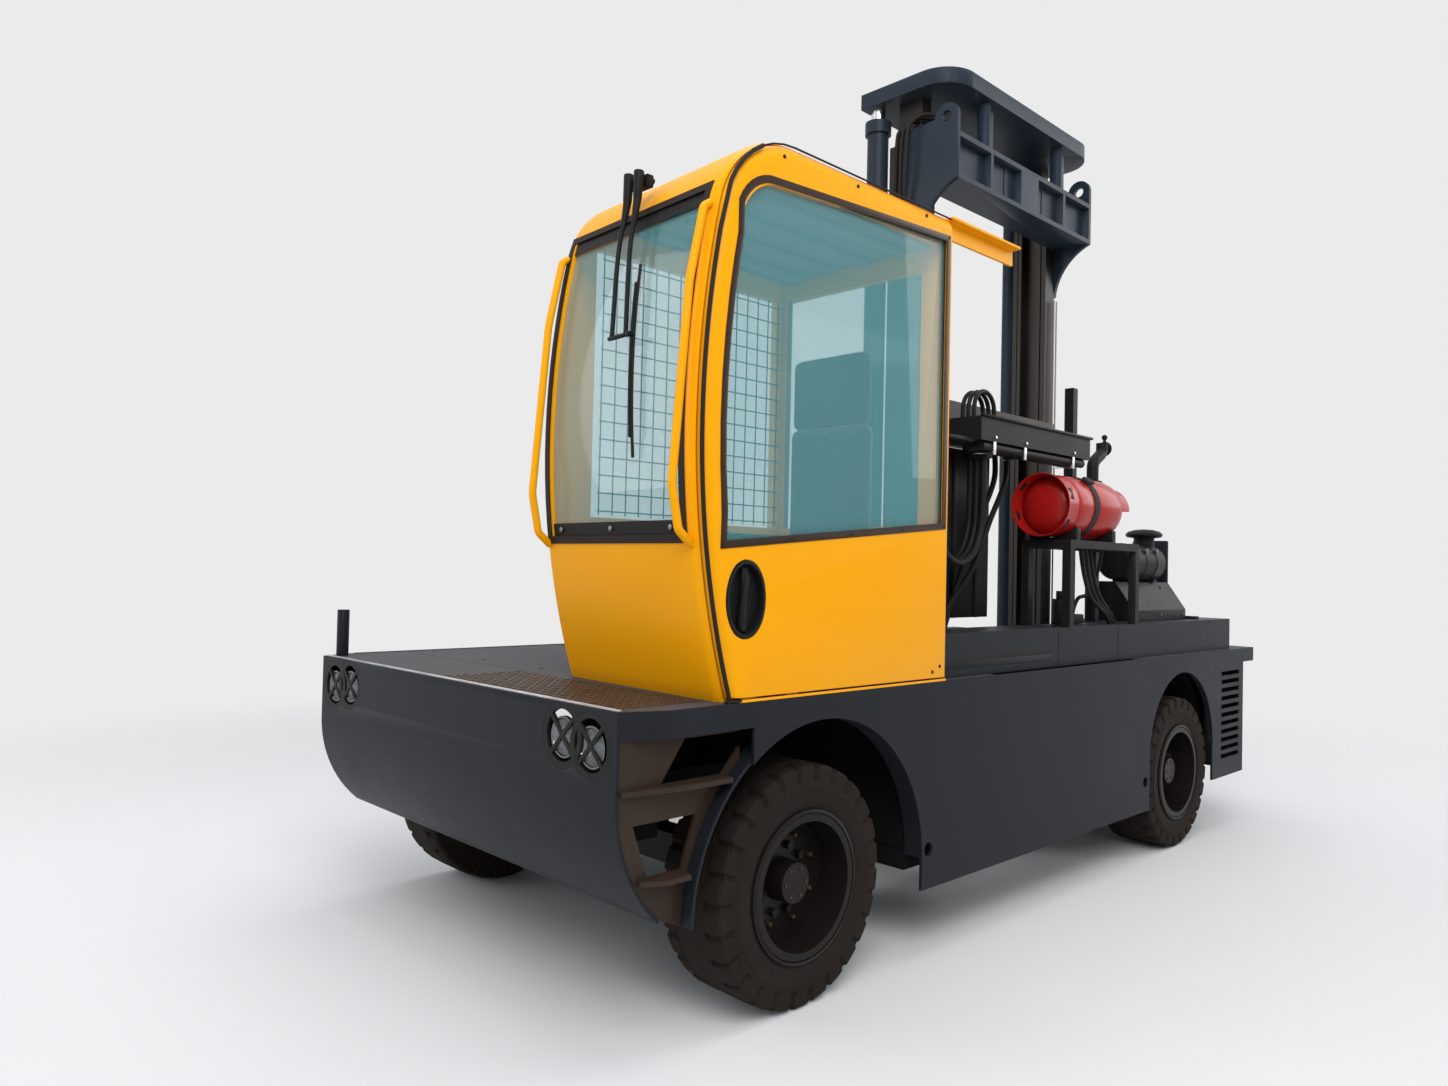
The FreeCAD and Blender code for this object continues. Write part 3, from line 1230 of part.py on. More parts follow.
def make_grabs():
    """Two bent rails in front of the cab's corners, each with its feet on the front."""
    rails = []
    turn = math.tan(math.radians(d.front_turn.number))
    for tag, y in (("near", d.side_y - d.grab_near), ("far", d.cab_far + d.grab_far)):
        back = (d.side_y - y).number * turn

        def face(z):
            """Front of the cab at a height, at this rail."""
            centre, radius = d.nose_mid_z.number, front_low_r.number
            if z > centre:
                radius = d.nose_high_r.number
            return nose_mid.number - radius + math.sqrt(radius ** 2 - (z - centre) ** 2) - back

        low, high = d.grab_low.number, d.grab_high.number
        out, foot = d.grab_out.number, d.grab_r.number + d.fit.number
        points = [(face(low) + 1, y, low), (face(low + 45) + out * 0.75, y, low + 45),
                  (face(low + 190) + out, y, low + 190), (face(high - 260) + out * 0.55, y,
                                                          high - 260),
                  (face(high) + foot * 2, y, high - 10), (face(high) + 1, y, high + 8)]
        pipe = sweep_pipe(f"grab_{tag}", points, d.grab_r, (32, 120, 400, 24))
        clear = turned_front(f"grab_{tag}_clear", d.fit * -1, cab_low, d.cab_far, d.side_y)
        rails.append(cut(f"grab_{tag}_on_face", pipe, [clear]))
    keep("grab_rails", group("grab_rails", rails))


def make_interior():
    """Seat on its base, and the steering column with its wheel."""
    floor = cab_low + d.cab_floor + d.fit
    x, y = d.seat_x, d.seat_y
    base = d.seat_base_half
    half = d.seat_half
    seat = floor + d.seat_base_high
    back = seat + d.cushion_high
    keep("seat_base", box("seat_base", (x - base, y - base, floor), (x + base, y + base, seat)))
    keep("seat_cushion", box("seat_cushion", (x - half, y - half, seat + d.fit),
                             (x + half, y + half, back)))
    keep("seat_back", box("seat_back", (x - half - d.back_thick / 2, y - half, back + d.fit),
                          (x - half + d.back_thick / 2, y + half, back + d.back_high)))
    column = rod("column", "Z", (d.column_x, y, floor), d.column_r, d.column_high)
    wheel = rod("steering_disc", "Z", (d.column_x, y, floor + d.column_high - 1), d.steering_r,
                d.steering_thick)
    keep("steering_column", fuse("steering", [column, wheel]))


def make_gas():
    """Gas bottle lying along the machine on its frame of angle legs."""
    length = d.gas_front - d.gas_rear
    dome = d.gas_r - d.foot_r
    keep("gas_bottle", turned("gas_bottle", "X", [
        (0, 0), (0, d.foot_r), (d.collar_long, d.foot_r),
        (d.collar_long + dome * 1.5, d.gas_r, -d.gas_r * 0.6),
        (length - d.foot_long - dome * 1.5, d.gas_r),
        (length - d.foot_long, d.foot_r, -d.gas_r * 0.6),
        (length, d.foot_r), (length, 0)], (d.gas_rear, d.gas_y, d.gas_z)))
    pieces = []
    base = d.cover_z + d.fit
    top = d.gas_z - d.gas_r - d.saddle
    for tag, x in (("front", d.leg_front), ("rear", d.leg_rear)):
        for mark, y in (("inner", d.gas_y - d.frame_half), ("outer", d.gas_y + d.frame_half - d.leg)):
            pieces.append(box(f"leg_{tag}_{mark}", (x, y, base), (x + d.leg, y + d.leg, top)))
        pieces.append(box(f"tie_{tag}", (x, d.gas_y - d.frame_half, top - d.leg),
                          (x + d.leg, d.gas_y + d.frame_half, top)))
    for mark, y in (("inner", d.gas_y - d.frame_half), ("outer", d.gas_y + d.frame_half - d.leg)):
        pieces.append(box(f"runner_{mark}", (d.leg_rear, y, top - d.leg),
                          (d.leg_front + d.leg, y + d.leg, top)))
    blocks = [box(f"saddle_{tag}", (x, d.gas_y - d.frame_half, top - 1),
                  (x + d.leg, d.gas_y + d.frame_half, top + 60))
              for tag, x in (("front", d.saddle_front), ("rear", d.saddle_rear))]
    ties = [box(f"saddle_tie_{tag}", (x, d.gas_y - d.frame_half, top - d.leg),
                (x + d.leg, d.gas_y + d.frame_half, top))
            for tag, x in (("front", d.saddle_front), ("rear", d.saddle_rear))]
    saddles = [cut(f"saddle_cut_{index}", block, [rod(
        f"saddle_room_{index}", "X", (d.gas_rear, d.gas_y, d.gas_z), d.gas_r + d.fit, length)])
        for index, block in enumerate(blocks)]
    keep("gas_frame", fuse("gas_frame", pieces + ties + saddles))


def make_air():
    """Air cleaner on its bracket, its rain cap, the exhaust pipe and the square post."""
    base = d.cover_z + d.fit
    keep("air_box", prism("air_box", "YZ", [[
        (d.air_far, base), (d.air_near, base), (d.air_near, base + 60),
        (d.air_near - 110, d.air_shelf), (d.air_far, d.air_shelf)]],
        d.air_rear, d.air_front))
    drum_z = d.air_shelf + d.filter_r + d.fit
    drum = rod("filter_drum", "X", (d.air_front - 60 - d.filter_long,
                                    d.air_far + d.filter_r, drum_z), d.filter_r, d.filter_long)
    neck = rod("filter_neck", "Z", (d.cap_x, d.air_far + d.filter_r, drum_z), 40,
               d.cap_z - drum_z)
    cap = rod("filter_cap", "Z", (d.cap_x, d.air_far + d.filter_r, d.cap_z - 1), d.cap_r,
              d.cap_high)
    keep("air_filter", fuse("air_filter", [drum, neck, cap]))
    x, y = d.stack_x.number, d.stack_y.number
    top = d.stack_top.number
    reach = d.stack_reach.number
    keep("exhaust_pipe", sweep_pipe("exhaust_pipe", [
        (x, y, base.number), (x, y, top - reach * 1.1), (x - reach, y, top - reach * 0.5),
        (x - reach, y, top)], d.stack_r, (reach * 0.5, reach * 0.4)))
    keep("square_post", box("square_post", (d.stake_x - d.stake / 2, d.stake_y - d.stake / 2,
                                            d.deck_z + d.fit),
                            (d.stake_x + d.stake / 2, d.stake_y + d.stake / 2, d.stake_top)))


# Mast: outer uprights tilt on the reach carriage, inner uprights and forks rise in them.
def upright(name, side, outer, wide, near, far, web, flange, low, high):
    """One channel of a mast stage, open towards the mast's middle."""
    def at(from_outer):
        return d.mast_x + (outer - from_outer) * side

    return prism(name, "XY", [[
        (at(0), near), (at(wide), near), (at(wide), near - flange), (at(web), near - flange),
        (at(web), far + flange), (at(wide), far + flange), (at(wide), far), (at(0), far)]],
        low, high)


def stage_pads(stage, low):
    """Sliding pads between the flanges of the outer and inner uprights at one level."""
    room = d.run_gap - d.fit
    near = d.mast_near - d.channel_flange
    far = d.mast_near - d.mast_deep + d.channel_flange
    if stage == "outer":
        spans = ((near - room, near + 1), (far - 1, far + room))
    else:
        spans = ((near - d.run_gap - 1, near - d.fit), (far + d.fit, far + d.run_gap + 1))
    from_middle = d.mast_half - d.channel_web - d.run_gap - d.pad_wide
    pads = []
    for side in (-1, 1):
        x = d.mast_x + (from_middle if side > 0 else -from_middle - d.pad_wide)
        for index, (y_low, y_high) in enumerate(spans):
            pads.append(box(f"{stage}_pad_{side + 1}_{index}", (x, y_low, low),
                            (x + d.pad_wide, y_high, low + d.pad_high)))
    return pads


def make_outer_mast():
    """Outer uprights with their ties, the crossbeam between its end plates, and the barrels."""
    near = d.mast_near
    far = near - d.mast_deep
    stage = [upright(f"outer_upright_{side + 1}", side, d.mast_half, d.channel_wide, near, far,
                     d.channel_web, d.channel_flange, d.mast_low, d.mast_top)
             for side in (-1, 1)]
    for tag, z in (("low", d.tie_low), ("middle", d.tie_mid)):
        stage.append(box(f"mast_tie_{tag}", (d.mast_x - d.mast_half, near, z),
                         (d.mast_x + d.mast_half, near + d.tie_thick, z + d.tie_high)))
    pads = stage_pads("outer", d.mast_top - d.pad_high - 10)
    holes = [rod(f"pivot_hole_{side + 1}", "X",
                 (d.mast_x + (d.mast_half if side > 0 else -d.mast_half) - d.channel_web - 1,
                  d.pivot_y, d.pivot_z), d.pin_r + d.fit, d.channel_web * 2 + 2)
             for side in (-1, 1)]
    keep("outer_uprights", cut("outer_uprights", fuse("outer_stage", stage + pads), holes))
    beam = [prism("beam_section", "YZ", [[
        (d.beam_near, beam_low), (d.beam_near, beam_low + d.beam_flange),
        (d.beam_web, beam_low + d.beam_flange), (d.beam_web, beam_high - d.beam_flange),
        (d.beam_near, beam_high - d.beam_flange), (d.beam_near, beam_high),
        (near + d.fit, beam_high), (near + d.fit, beam_low)]],
        d.mast_x - d.mast_half, d.mast_x + d.mast_half)]
    for side in (-1, 1):
        x_low = d.mast_x + d.mast_half if side > 0 else d.mast_x - d.mast_half - d.gusset
        plate = prism(f"gusset_{side + 1}", "YZ", [[
            (d.gusset_far, gusset_low), (near, gusset_low),
            (d.beam_near, beam_low, -d.gusset_r), (d.beam_near, eye_z),
            (d.eye_y - d.eye_r, eye_z, d.eye_r), (d.gusset_far + 80, eye_z - 10),
            (d.gusset_far, eye_z - 100)],
            ("circle", d.eye_y, eye_z, d.eye_hole)], x_low,
            x_low + d.gusset)
        beam.append(plate)
    for tag, middle, half in (("middle", d.mast_x, d.block_half),
                              ("front", d.mast_x + d.post_from, d.gusset / 2),
                              ("rear", d.mast_x - d.post_from, d.gusset / 2)):
        beam.append(box(f"beam_block_{tag}", (middle - half, d.beam_web - 1, beam_low + 1),
                        (middle + half, d.beam_near, beam_high - 1)))
    for side in (-1, 1):
        beam.append(rod(f"chain_post_{side + 1}", "Z",
                        (d.mast_x + d.post_from * side, d.chain_y, beam_high - 1), d.chain_r,
                        inner_top - beam_high - d.run_gap))
    keep("mast_crossbeam", fuse("mast_crossbeam", beam))
    barrels = []
    for side in (-1, 1):
        x = d.mast_x + d.lift_x * side
        tube = rod(f"barrel_{side + 1}", "Z", (x, d.lift_y, d.barrel_low), d.lift_r,
                   collar_top - d.barrel_low)
        collar = rod(f"collar_{side + 1}", "Z", (x, d.lift_y, collar_top - d.collar_high),
                     d.collar_r, d.collar_high)
        bore = rod(f"bore_{side + 1}", "Z", (x, d.lift_y, d.barrel_low + 40),
                   d.rod_r + d.fit, collar_top)
        clamp = box(f"barrel_foot_{side + 1}", (x - 40, d.lift_y, d.barrel_low),
                    (x + 40, far - d.fit, d.barrel_low + 60))
        barrels.append(cut(f"barrel_open_{side + 1}",
                           fuse(f"barrel_pieces_{side + 1}", [tube, collar, clamp]), [bore]))
    keep("lift_cylinders", group("lift_cylinders", barrels))
    back = near + d.tie_thick + d.fit
    tray = box("tray_block", (d.tray_rear, back, d.tray_low),
               (d.tray_front, d.tray_near, d.tray_low + d.tray_high))
    room = box("tray_room", (d.tray_rear + 8, back + 8, d.tray_low + 8),
               (d.tray_front - 8, d.tray_near - 8, d.tray_low + d.tray_high + 1))
    keep("hose_tray", cut("hose_tray", tray, [room]))
    pipes = [rod(f"pipe_{index}", "X",
                 (d.tray_rear + 40, d.tray_near - 30 - 60 * index,
                  d.tray_low - d.pipe_r - d.fit), d.pipe_r, d.tray_front - d.tray_rear - 80)
             for index in range(2)]
    keep("mast_pipes", group("mast_pipes", pipes))


def make_inner_mast():
    """Inner uprights, the top plate and the cylinder rods that push it up."""
    gap = d.channel_web + d.run_gap
    near = d.mast_near - d.channel_flange - d.run_gap
    far = d.mast_near - d.mast_deep + d.channel_flange + d.run_gap
    stage = [upright(f"inner_upright_{side + 1}", side, d.mast_half - gap, d.inner_wide, near,
                     far, d.inner_web, d.inner_flange, d.mast_low, inner_top)
             for side in (-1, 1)]
    stage += stage_pads("inner", d.mast_low + 10)
    stage.append(box("inner_tie", (d.mast_x - d.mast_half + gap, near - d.inner_flange,
                                   inner_tie_z),
                     (d.mast_x + d.mast_half - gap, near, inner_tie_z + d.tie_high)))
    keep("inner_uprights", fuse("inner_uprights", stage))
    half, corner = d.top_half, d.top_corner
    x = d.mast_x
    keep("top_plate", prism("top_plate", "XY", [[
        (x - half, d.top_far), (x - d.notch_half, d.top_far),
        (x - d.notch_half, d.notch_y - 60), (x - d.notch_half + 60, d.notch_y, -60),
        (x + d.notch_half - 60, d.notch_y), (x + d.notch_half, d.notch_y - 60, -60),
        (x + d.notch_half, d.top_far), (x + half, d.top_far),
        (x + half, d.top_near - corner), (x + half - corner, d.top_near, corner),
        (x - half + corner, d.top_near), (x - half, d.top_near - corner, corner)]],
        inner_top + d.fit, inner_top + d.fit + d.top_plate))
    rods = [rod(f"rod_{side + 1}", "Z", (d.mast_x + d.lift_x * side, d.lift_y, d.rod_low),
                d.rod_r, inner_top - d.rod_low) for side in (-1, 1)]
    keep("lift_rods", group("lift_rods", rods))


def make_fork_carriage():
    """Fork carriage between the inner uprights, and the two forks on its bars."""
    far = d.mast_near - d.mast_deep
    gap = d.channel_web + d.run_gap + d.inner_wide + d.run_gap
    half = d.mast_half - gap
    pieces = []
    bar_near = far - d.run_gap
    for tag, z in (("low", d.bar_low), ("high", d.bar_high)):
        pieces.append(box(f"fork_bar_{tag}", (d.mast_x - half, bar_near - d.bar_thick, z),
                          (d.mast_x + half, bar_near, z + d.bar_tall)))
    for side in (-1, 1):
        x_low = d.mast_x + (half - d.cheek if side > 0 else -half)
        pieces.append(box(f"cheek_{side + 1}", (x_low, bar_near - d.bar_thick, d.bar_low),
                          (x_low + d.cheek, d.mast_near - d.channel_flange - 32,
                           d.bar_high + d.bar_tall)))
    flange_gap = d.channel_flange + d.run_gap + d.inner_flange + d.fit
    middle = d.mast_near - d.mast_deep / 2
    for side in (-1, 1):
        start = d.mast_x + (half - 1 if side > 0 else 1 - half - d.roll_half * 2)
        for index, z in enumerate((d.bar_low + 60, d.bar_high + 40)):
            pieces.append(rod(f"mast_roller_{side + 1}_{index}", "X", (start, middle, z),
                              d.mast_deep / 2 - flange_gap, d.roll_half * 2))
    keep("fork_carriage", fuse("fork_carriage", pieces))
    shank = bar_near - d.bar_thick - d.fit
    forks = []
    for side in (-1, 1):
        x = d.mast_x + d.fork_x * side
        heel = shank - d.fork_thick
        forks.append(prism(f"fork_{side + 1}", "YZ", [[
            (shank, d.fork_z), (shank, d.bar_high + d.bar_tall),
            (heel, d.bar_high + d.bar_tall), (heel, d.fork_z + d.fork_thick),
            (heel - d.fork_long, d.fork_z + d.fork_tip), (heel - d.fork_long, d.fork_z)]],
            x - d.fork_wide / 2, x + d.fork_wide / 2))
    keep("forks", group("forks", forks))


def make_reach_carriage():
    """Frame on rollers that carries the mast along the rails of the well."""
    pieces = []
    low, high = d.pivot_z - d.arm_high / 2, d.pivot_z + d.arm_high / 2
    for side in (-1, 1):
        face = d.mast_x + (d.mast_half + d.arm_gap) * side
        x_low = face if side > 0 else face - d.arm
        pieces.append(box(f"arm_{side + 1}", (x_low, d.arm_far, low),
                          (x_low + d.arm, d.arm_near, high)))
        for index, y in enumerate((d.roller_far, d.roller_near)):
            start = x_low + d.arm - 1 if side > 0 else x_low - d.roller_wide + 1
            pieces.append(rod(f"roller_{side + 1}_{index}", "X",
                              (start, y, d.rail_z + d.rail_high / 2),
                              d.rail_high / 2 - d.rail_web - d.roller_gap, d.roller_wide))
        pin_start = face - d.arm_gap - d.channel_web if side > 0 else face - 1
        pieces.append(rod(f"tilt_pin_{side + 1}", "X", (pin_start, d.pivot_y, d.pivot_z),
                          d.pin_r, d.arm_gap + d.channel_web + 1))
    pieces.append(box("carriage_beam", (d.mast_x - d.mast_half - d.arm_gap - 1,
                                        d.arm_near - 100, low),
                      (d.mast_x + d.mast_half + d.arm_gap + 1, d.arm_near, high)))
    keep("reach_carriage", fuse("reach_carriage", pieces))


MAKERS = [
    make_skirts, make_bumper, make_steps, make_decks, make_frame, make_rear_panel, make_covers,
    make_engine, make_lamps, make_wheels, make_axles, make_cab, make_door, make_grabs,
    make_interior,
    make_gas, make_air, make_outer_mast, make_inner_mast, make_fork_carriage,
    make_reach_carriage,
]
for make in MAKERS:
    make()
doc.recompute()

faults = [f"{piece.Name}: {piece.getStatusString()}" for piece in doc.Objects
          if "Invalid" in piece.State or "Error" in piece.State]
if faults:
    raise RuntimeError("\n".join(faults))
os.makedirs("parts", exist_ok=True)
for piece in nodes:
    shape = piece.Shape
    if shape.isNull() or not shape.isValid() or not shape.Solids:
        raise RuntimeError(f"{piece.Label} has no valid solid")
    shape.exportStep(f"parts/{piece.Label}.step")
    print(f"{piece.Label}: {len(shape.Solids)} solids, {shape.Volume / 1e6:.2f} litres")
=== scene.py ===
"""Looks of a side loader forklift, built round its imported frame.

Every length is in metres, in the frame's own axes: +X is the driving direction, +Y is the
cab side and +Z is up.  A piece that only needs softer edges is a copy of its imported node.
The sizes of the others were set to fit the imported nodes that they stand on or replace.
"""

import json
import logging
import math
from dataclasses import dataclass, field
from enum import Enum
from typing import Callable, Iterable, Sequence

import bmesh
import bpy
from mathutils import Matrix, Vector

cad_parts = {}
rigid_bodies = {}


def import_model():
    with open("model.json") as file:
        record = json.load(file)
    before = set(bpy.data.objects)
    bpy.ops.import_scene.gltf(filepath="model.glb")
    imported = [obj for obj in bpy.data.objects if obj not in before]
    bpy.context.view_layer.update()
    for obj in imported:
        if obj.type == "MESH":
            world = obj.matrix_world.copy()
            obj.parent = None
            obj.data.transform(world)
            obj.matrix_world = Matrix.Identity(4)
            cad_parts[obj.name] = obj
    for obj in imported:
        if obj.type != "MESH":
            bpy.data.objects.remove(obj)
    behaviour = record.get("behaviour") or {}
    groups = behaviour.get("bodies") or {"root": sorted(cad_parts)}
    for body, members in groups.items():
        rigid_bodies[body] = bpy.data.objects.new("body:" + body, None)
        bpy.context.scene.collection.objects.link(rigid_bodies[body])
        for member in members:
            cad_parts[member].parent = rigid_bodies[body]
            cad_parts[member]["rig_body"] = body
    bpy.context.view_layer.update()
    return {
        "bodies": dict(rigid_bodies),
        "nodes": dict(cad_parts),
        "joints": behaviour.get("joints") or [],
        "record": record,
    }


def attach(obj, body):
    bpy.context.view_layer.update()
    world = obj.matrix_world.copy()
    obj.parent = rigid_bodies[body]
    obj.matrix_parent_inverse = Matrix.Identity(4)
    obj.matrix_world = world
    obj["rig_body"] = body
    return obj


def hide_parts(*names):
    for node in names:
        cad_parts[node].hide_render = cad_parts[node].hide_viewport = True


LOG = logging.getLogger("side_loader")
FRONT_AXLE_X = 1.740
REAR_AXLE_X = -1.446
DECK_TOP = 1.0850
EDGE_STEPS = 2
SHARP_ANGLE = 20
MERGE_DISTANCE = 1e-5
Point = Sequence[float]
Colour = tuple[float, float, float]


class Axis(Enum):
    """A direction of the frame, with the turn that brings +Z onto it."""

    X = "X"
    Z = "Z"

    def turn(self) -> Matrix:
        """Rotation that brings the +Z direction onto this axis."""
        if self is Axis.X:
            return Matrix.Rotation(math.radians(90), 4, "Y")
        return Matrix.Identity(4)


class Coat(Enum):
    """How a surface takes the light."""

    SOLID = "solid"
    FLOOR = "floor"
    GLASS = "glass"
    CLOTH = "cloth"


# Shader node groups, each built once.
def new_group(name: str, inputs: Iterable[tuple], outputs: Iterable[tuple]
              ) -> tuple[bpy.types.NodeTree, bpy.types.Node, bpy.types.Node]:
    """Start a shader node group with named sockets.

    Args:
        name: The group's name.
        inputs: Socket name, socket type and default value of each input.
        outputs: Socket name and socket type of each output.

    Returns:
        The group, its input node and its output node.
    """
    group = bpy.data.node_groups.new(name, "ShaderNodeTree")
    for label, kind, value in inputs:
        socket = group.interface.new_socket(label, in_out="INPUT", socket_type=kind)
        socket.default_value = value
    for label, kind in outputs:
        group.interface.new_socket(label, in_out="OUTPUT", socket_type=kind)
    return group, group.nodes.new("NodeGroupInput"), group.nodes.new("NodeGroupOutput")


def add_node(tree: bpy.types.NodeTree, kind: str, inputs: dict | None = None,
             **settings) -> bpy.types.Node:
    """Add a node, set its properties and either link or fill its inputs.

    Args:
        tree: The node tree.
        kind: The node's type name.
        inputs: Input name or number to a value, or to an output socket to link.
        settings: Properties of the node.

    Returns:
        The new node.
    """
    node = tree.nodes.new(kind)
    for name, value in settings.items():
        setattr(node, name, value)
    for name, value in (inputs or {}).items():
        if isinstance(value, bpy.types.NodeSocket):
            tree.links.new(value, node.inputs[name])
        else:
            node.inputs[name].default_value = value
    return node


def weathering_group() -> None:
    """Build the node group that gives uneven colour, dust and fine bumps."""
    group, enter, leave = new_group(
        "weathering",
        [("Colour", "NodeSocketColor", (0.5, 0.5, 0.5, 1)),
         ("Dust Colour", "NodeSocketColor", (0.3, 0.27, 0.23, 1)),
         ("Mottle", "NodeSocketFloat", 0.1),
         ("Dust", "NodeSocketFloat", 0.1),
         ("Dust Height", "NodeSocketFloat", 0.6),
         ("Roughness", "NodeSocketFloat", 0.4),
         ("Scale", "NodeSocketFloat", 3.0),
         ("Grain", "NodeSocketFloat", 400.0)],
        [("Colour", "NodeSocketColor"), ("Roughness", "NodeSocketFloat"),
         ("Height", "NodeSocketFloat")])
    place = add_node(group, "ShaderNodeTexCoord").outputs["Object"]
    blotch = add_node(group, "ShaderNodeTexNoise",
                      {"Vector": place, "Scale": enter.outputs["Scale"], "Detail": 6.0,
                       "Roughness": 0.62})
    fine = add_node(group, "ShaderNodeTexNoise",
                    {"Vector": place, "Scale": enter.outputs["Grain"], "Detail": 3.0})
    streak_place = add_node(group, "ShaderNodeMapping",
                            {"Vector": place, "Scale": (14.0, 14.0, 1.2)})
    streak = add_node(group, "ShaderNodeTexNoise",
                      {"Vector": streak_place.outputs["Vector"], "Scale": 1.0, "Detail": 5.0})
    level = add_node(group, "ShaderNodeMath",
                     {0: blotch.outputs["Fac"], 1: 0.5}, operation="SUBTRACT")
    swing = add_node(group, "ShaderNodeMath",
                     {0: level.outputs[0], 1: enter.outputs["Mottle"]}, operation="MULTIPLY")
    shade = add_node(group, "ShaderNodeHueSaturation",
                     {"Color": enter.outputs["Colour"],
                      "Value": add_node(group, "ShaderNodeMath",
                                        {0: swing.outputs[0], 1: 1.0}).outputs[0]})
    height = add_node(group, "ShaderNodeSeparateXYZ", {"Vector": place})
    low = add_node(group, "ShaderNodeMapRange",
                   {"Value": height.outputs["Z"], "From Min": 0.0,
                    "From Max": enter.outputs["Dust Height"], "To Min": 1.0, "To Max": 0.25})
    patch = add_node(group, "ShaderNodeMath",
                     {0: streak.outputs["Fac"], 1: blotch.outputs["Fac"]}, operation="MULTIPLY")
    mask = add_node(group, "ShaderNodeMath",
                    {0: patch.outputs[0], 1: low.outputs[0]}, operation="MULTIPLY")
    amount = add_node(group, "ShaderNodeMath",
                      {0: mask.outputs[0], 1: enter.outputs["Dust"]}, operation="MULTIPLY",
                      use_clamp=True)
    dusty = add_node(group, "ShaderNodeMix",
                     {"Factor": amount.outputs[0], "A": shade.outputs["Color"],
                      "B": enter.outputs["Dust Colour"]}, data_type="RGBA")
    group.links.new(dusty.outputs["Result"], leave.inputs["Colour"])
    rough = add_node(group, "ShaderNodeMath",
                     {0: amount.outputs[0], 1: 0.9, 2: enter.outputs["Roughness"]},
                     operation="MULTIPLY_ADD")
    vary = add_node(group, "ShaderNodeMath",
                    {0: level.outputs[0], 1: 0.18, 2: rough.outputs[0]},
                    operation="MULTIPLY_ADD", use_clamp=True)
    group.links.new(vary.outputs[0], leave.inputs["Roughness"])
    group.links.new(fine.outputs["Fac"], leave.inputs["Height"])


@dataclass(frozen=True)
class Finish:
    """One surface finish and the numbers that tell it from the others."""

    name: str
    colour: Colour
    roughness: float = 0.4
    metallic: float = 0.0
    coat: float = 0.0
    mottle: float = 0.12
    dust: float = 0.25
    dust_height: float = 0.7
    dust_colour: Colour = (0.20, 0.17, 0.14)
    scale: float = 3.0
    grain: float = 500.0
    bump: float = 0.0006
    kind: Coat = Coat.SOLID
    alpha: float = 1.0
    shine: float = 0.10

    def build(self) -> None:
        """Make the material of this finish."""
        material = bpy.data.materials.new(f"look_{self.name}")
        material.use_nodes = True
        tree = material.node_tree
        shader = tree.nodes["Principled BSDF"]
        group = add_node(tree, "ShaderNodeGroup",
                         node_tree=bpy.data.node_groups["weathering"])
        fill = {"Colour": (*self.colour, 1), "Dust Colour": (*self.dust_colour, 1),
                "Mottle": self.mottle, "Dust": self.dust, "Dust Height": self.dust_height,
                "Roughness": self.roughness, "Scale": self.scale, "Grain": self.grain}
        for label, value in fill.items():
            group.inputs[label].default_value = value
        tree.links.new(group.outputs["Colour"], shader.inputs["Base Color"])
        tree.links.new(group.outputs["Roughness"], shader.inputs["Roughness"])
        bump = add_node(tree, "ShaderNodeBump",
                        {"Height": group.outputs["Height"], "Strength": 0.5,
                         "Distance": self.bump})
        tree.links.new(bump.outputs["Normal"], shader.inputs["Normal"])
        shader.inputs["Metallic"].default_value = self.metallic
        shader.inputs["Coat Weight"].default_value = self.coat
        shader.inputs["Coat Roughness"].default_value = 0.12
        shader.inputs["Specular IOR Level"].default_value = self.shine
        if self.kind is Coat.GLASS:
            shader.inputs["Alpha"].default_value = self.alpha
            material.surface_render_method = "BLENDED"
        if self.kind is Coat.FLOOR:
            place = add_node(tree, "ShaderNodeTexCoord").outputs["Object"]
            apart = add_node(tree, "ShaderNodeVectorMath", {0: place}, operation="LENGTH")
            fade = add_node(tree, "ShaderNodeMapRange",
                            {"Value": apart.outputs["Value"], "From Min": 3.2,
                             "From Max": 8.0, "To Min": 1.0, "To Max": 0.0},
                            interpolation_type="SMOOTHSTEP")
            tree.links.new(fade.outputs["Result"], shader.inputs["Alpha"])
        if self.kind is Coat.CLOTH:
            shader.inputs["Sheen Weight"].default_value = 0.4


CAB_YELLOW = Finish("cab_yellow", (0.95, 0.395, 0.001), 0.34, coat=0.03, mottle=0.08, dust=0.06,
                    shine=0.10)
CHASSIS_GREY = Finish("chassis_grey", (0.0135, 0.0155, 0.0205), 0.42, coat=0.02, mottle=0.35,
                      dust=0.22, dust_colour=(0.06, 0.05, 0.04))
# Step panel: its brown is partly rust and dust and partly a painted reflection of warm sunlight. The
# strong orange dust colour, spread over the whole height, carries most of the painted reflection.
STEP_RUST_AND_SUN_REFLECTION = Finish("step_rust_and_sun_reflection", (0.026, 0.019, 0.015), 0.40, coat=0.1, mottle=0.6, dust=0.9,
                    dust_height=2.5, dust_colour=(0.10, 0.045, 0.02), scale=6.0)
DECK_GREY = Finish("deck_grey", (0.060, 0.062, 0.072), 0.55, mottle=0.5, dust=0.35,
                   dust_height=3.0)
MAST_GREY = Finish("mast_grey", (0.020, 0.030, 0.046), 0.38, coat=0.03, mottle=0.25, dust=0.12)
MAST_RAIL = Finish("mast_rail", (0.024, 0.022, 0.021), 0.35, metallic=0.7, mottle=0.6, dust=0.35,
                   dust_height=5.0)
DARK_METAL = Finish("dark_metal", (0.012, 0.012, 0.013), 0.42, mottle=0.4, dust=0.30)
BLACK_PLASTIC = Finish("black_plastic", (0.010, 0.010, 0.0105), 0.42, mottle=0.3, dust=0.12,
                       grain=900.0, bump=0.0010)
GAS_RED = Finish("gas_red", (0.40, 0.010, 0.009), 0.28, coat=0.25, mottle=0.25, dust=0.15)
RIM_BLACK = Finish("rim_black", (0.010, 0.0085, 0.008), 0.24, coat=0.08, mottle=0.5, dust=0.35,
                   dust_colour=(0.05, 0.028, 0.018))
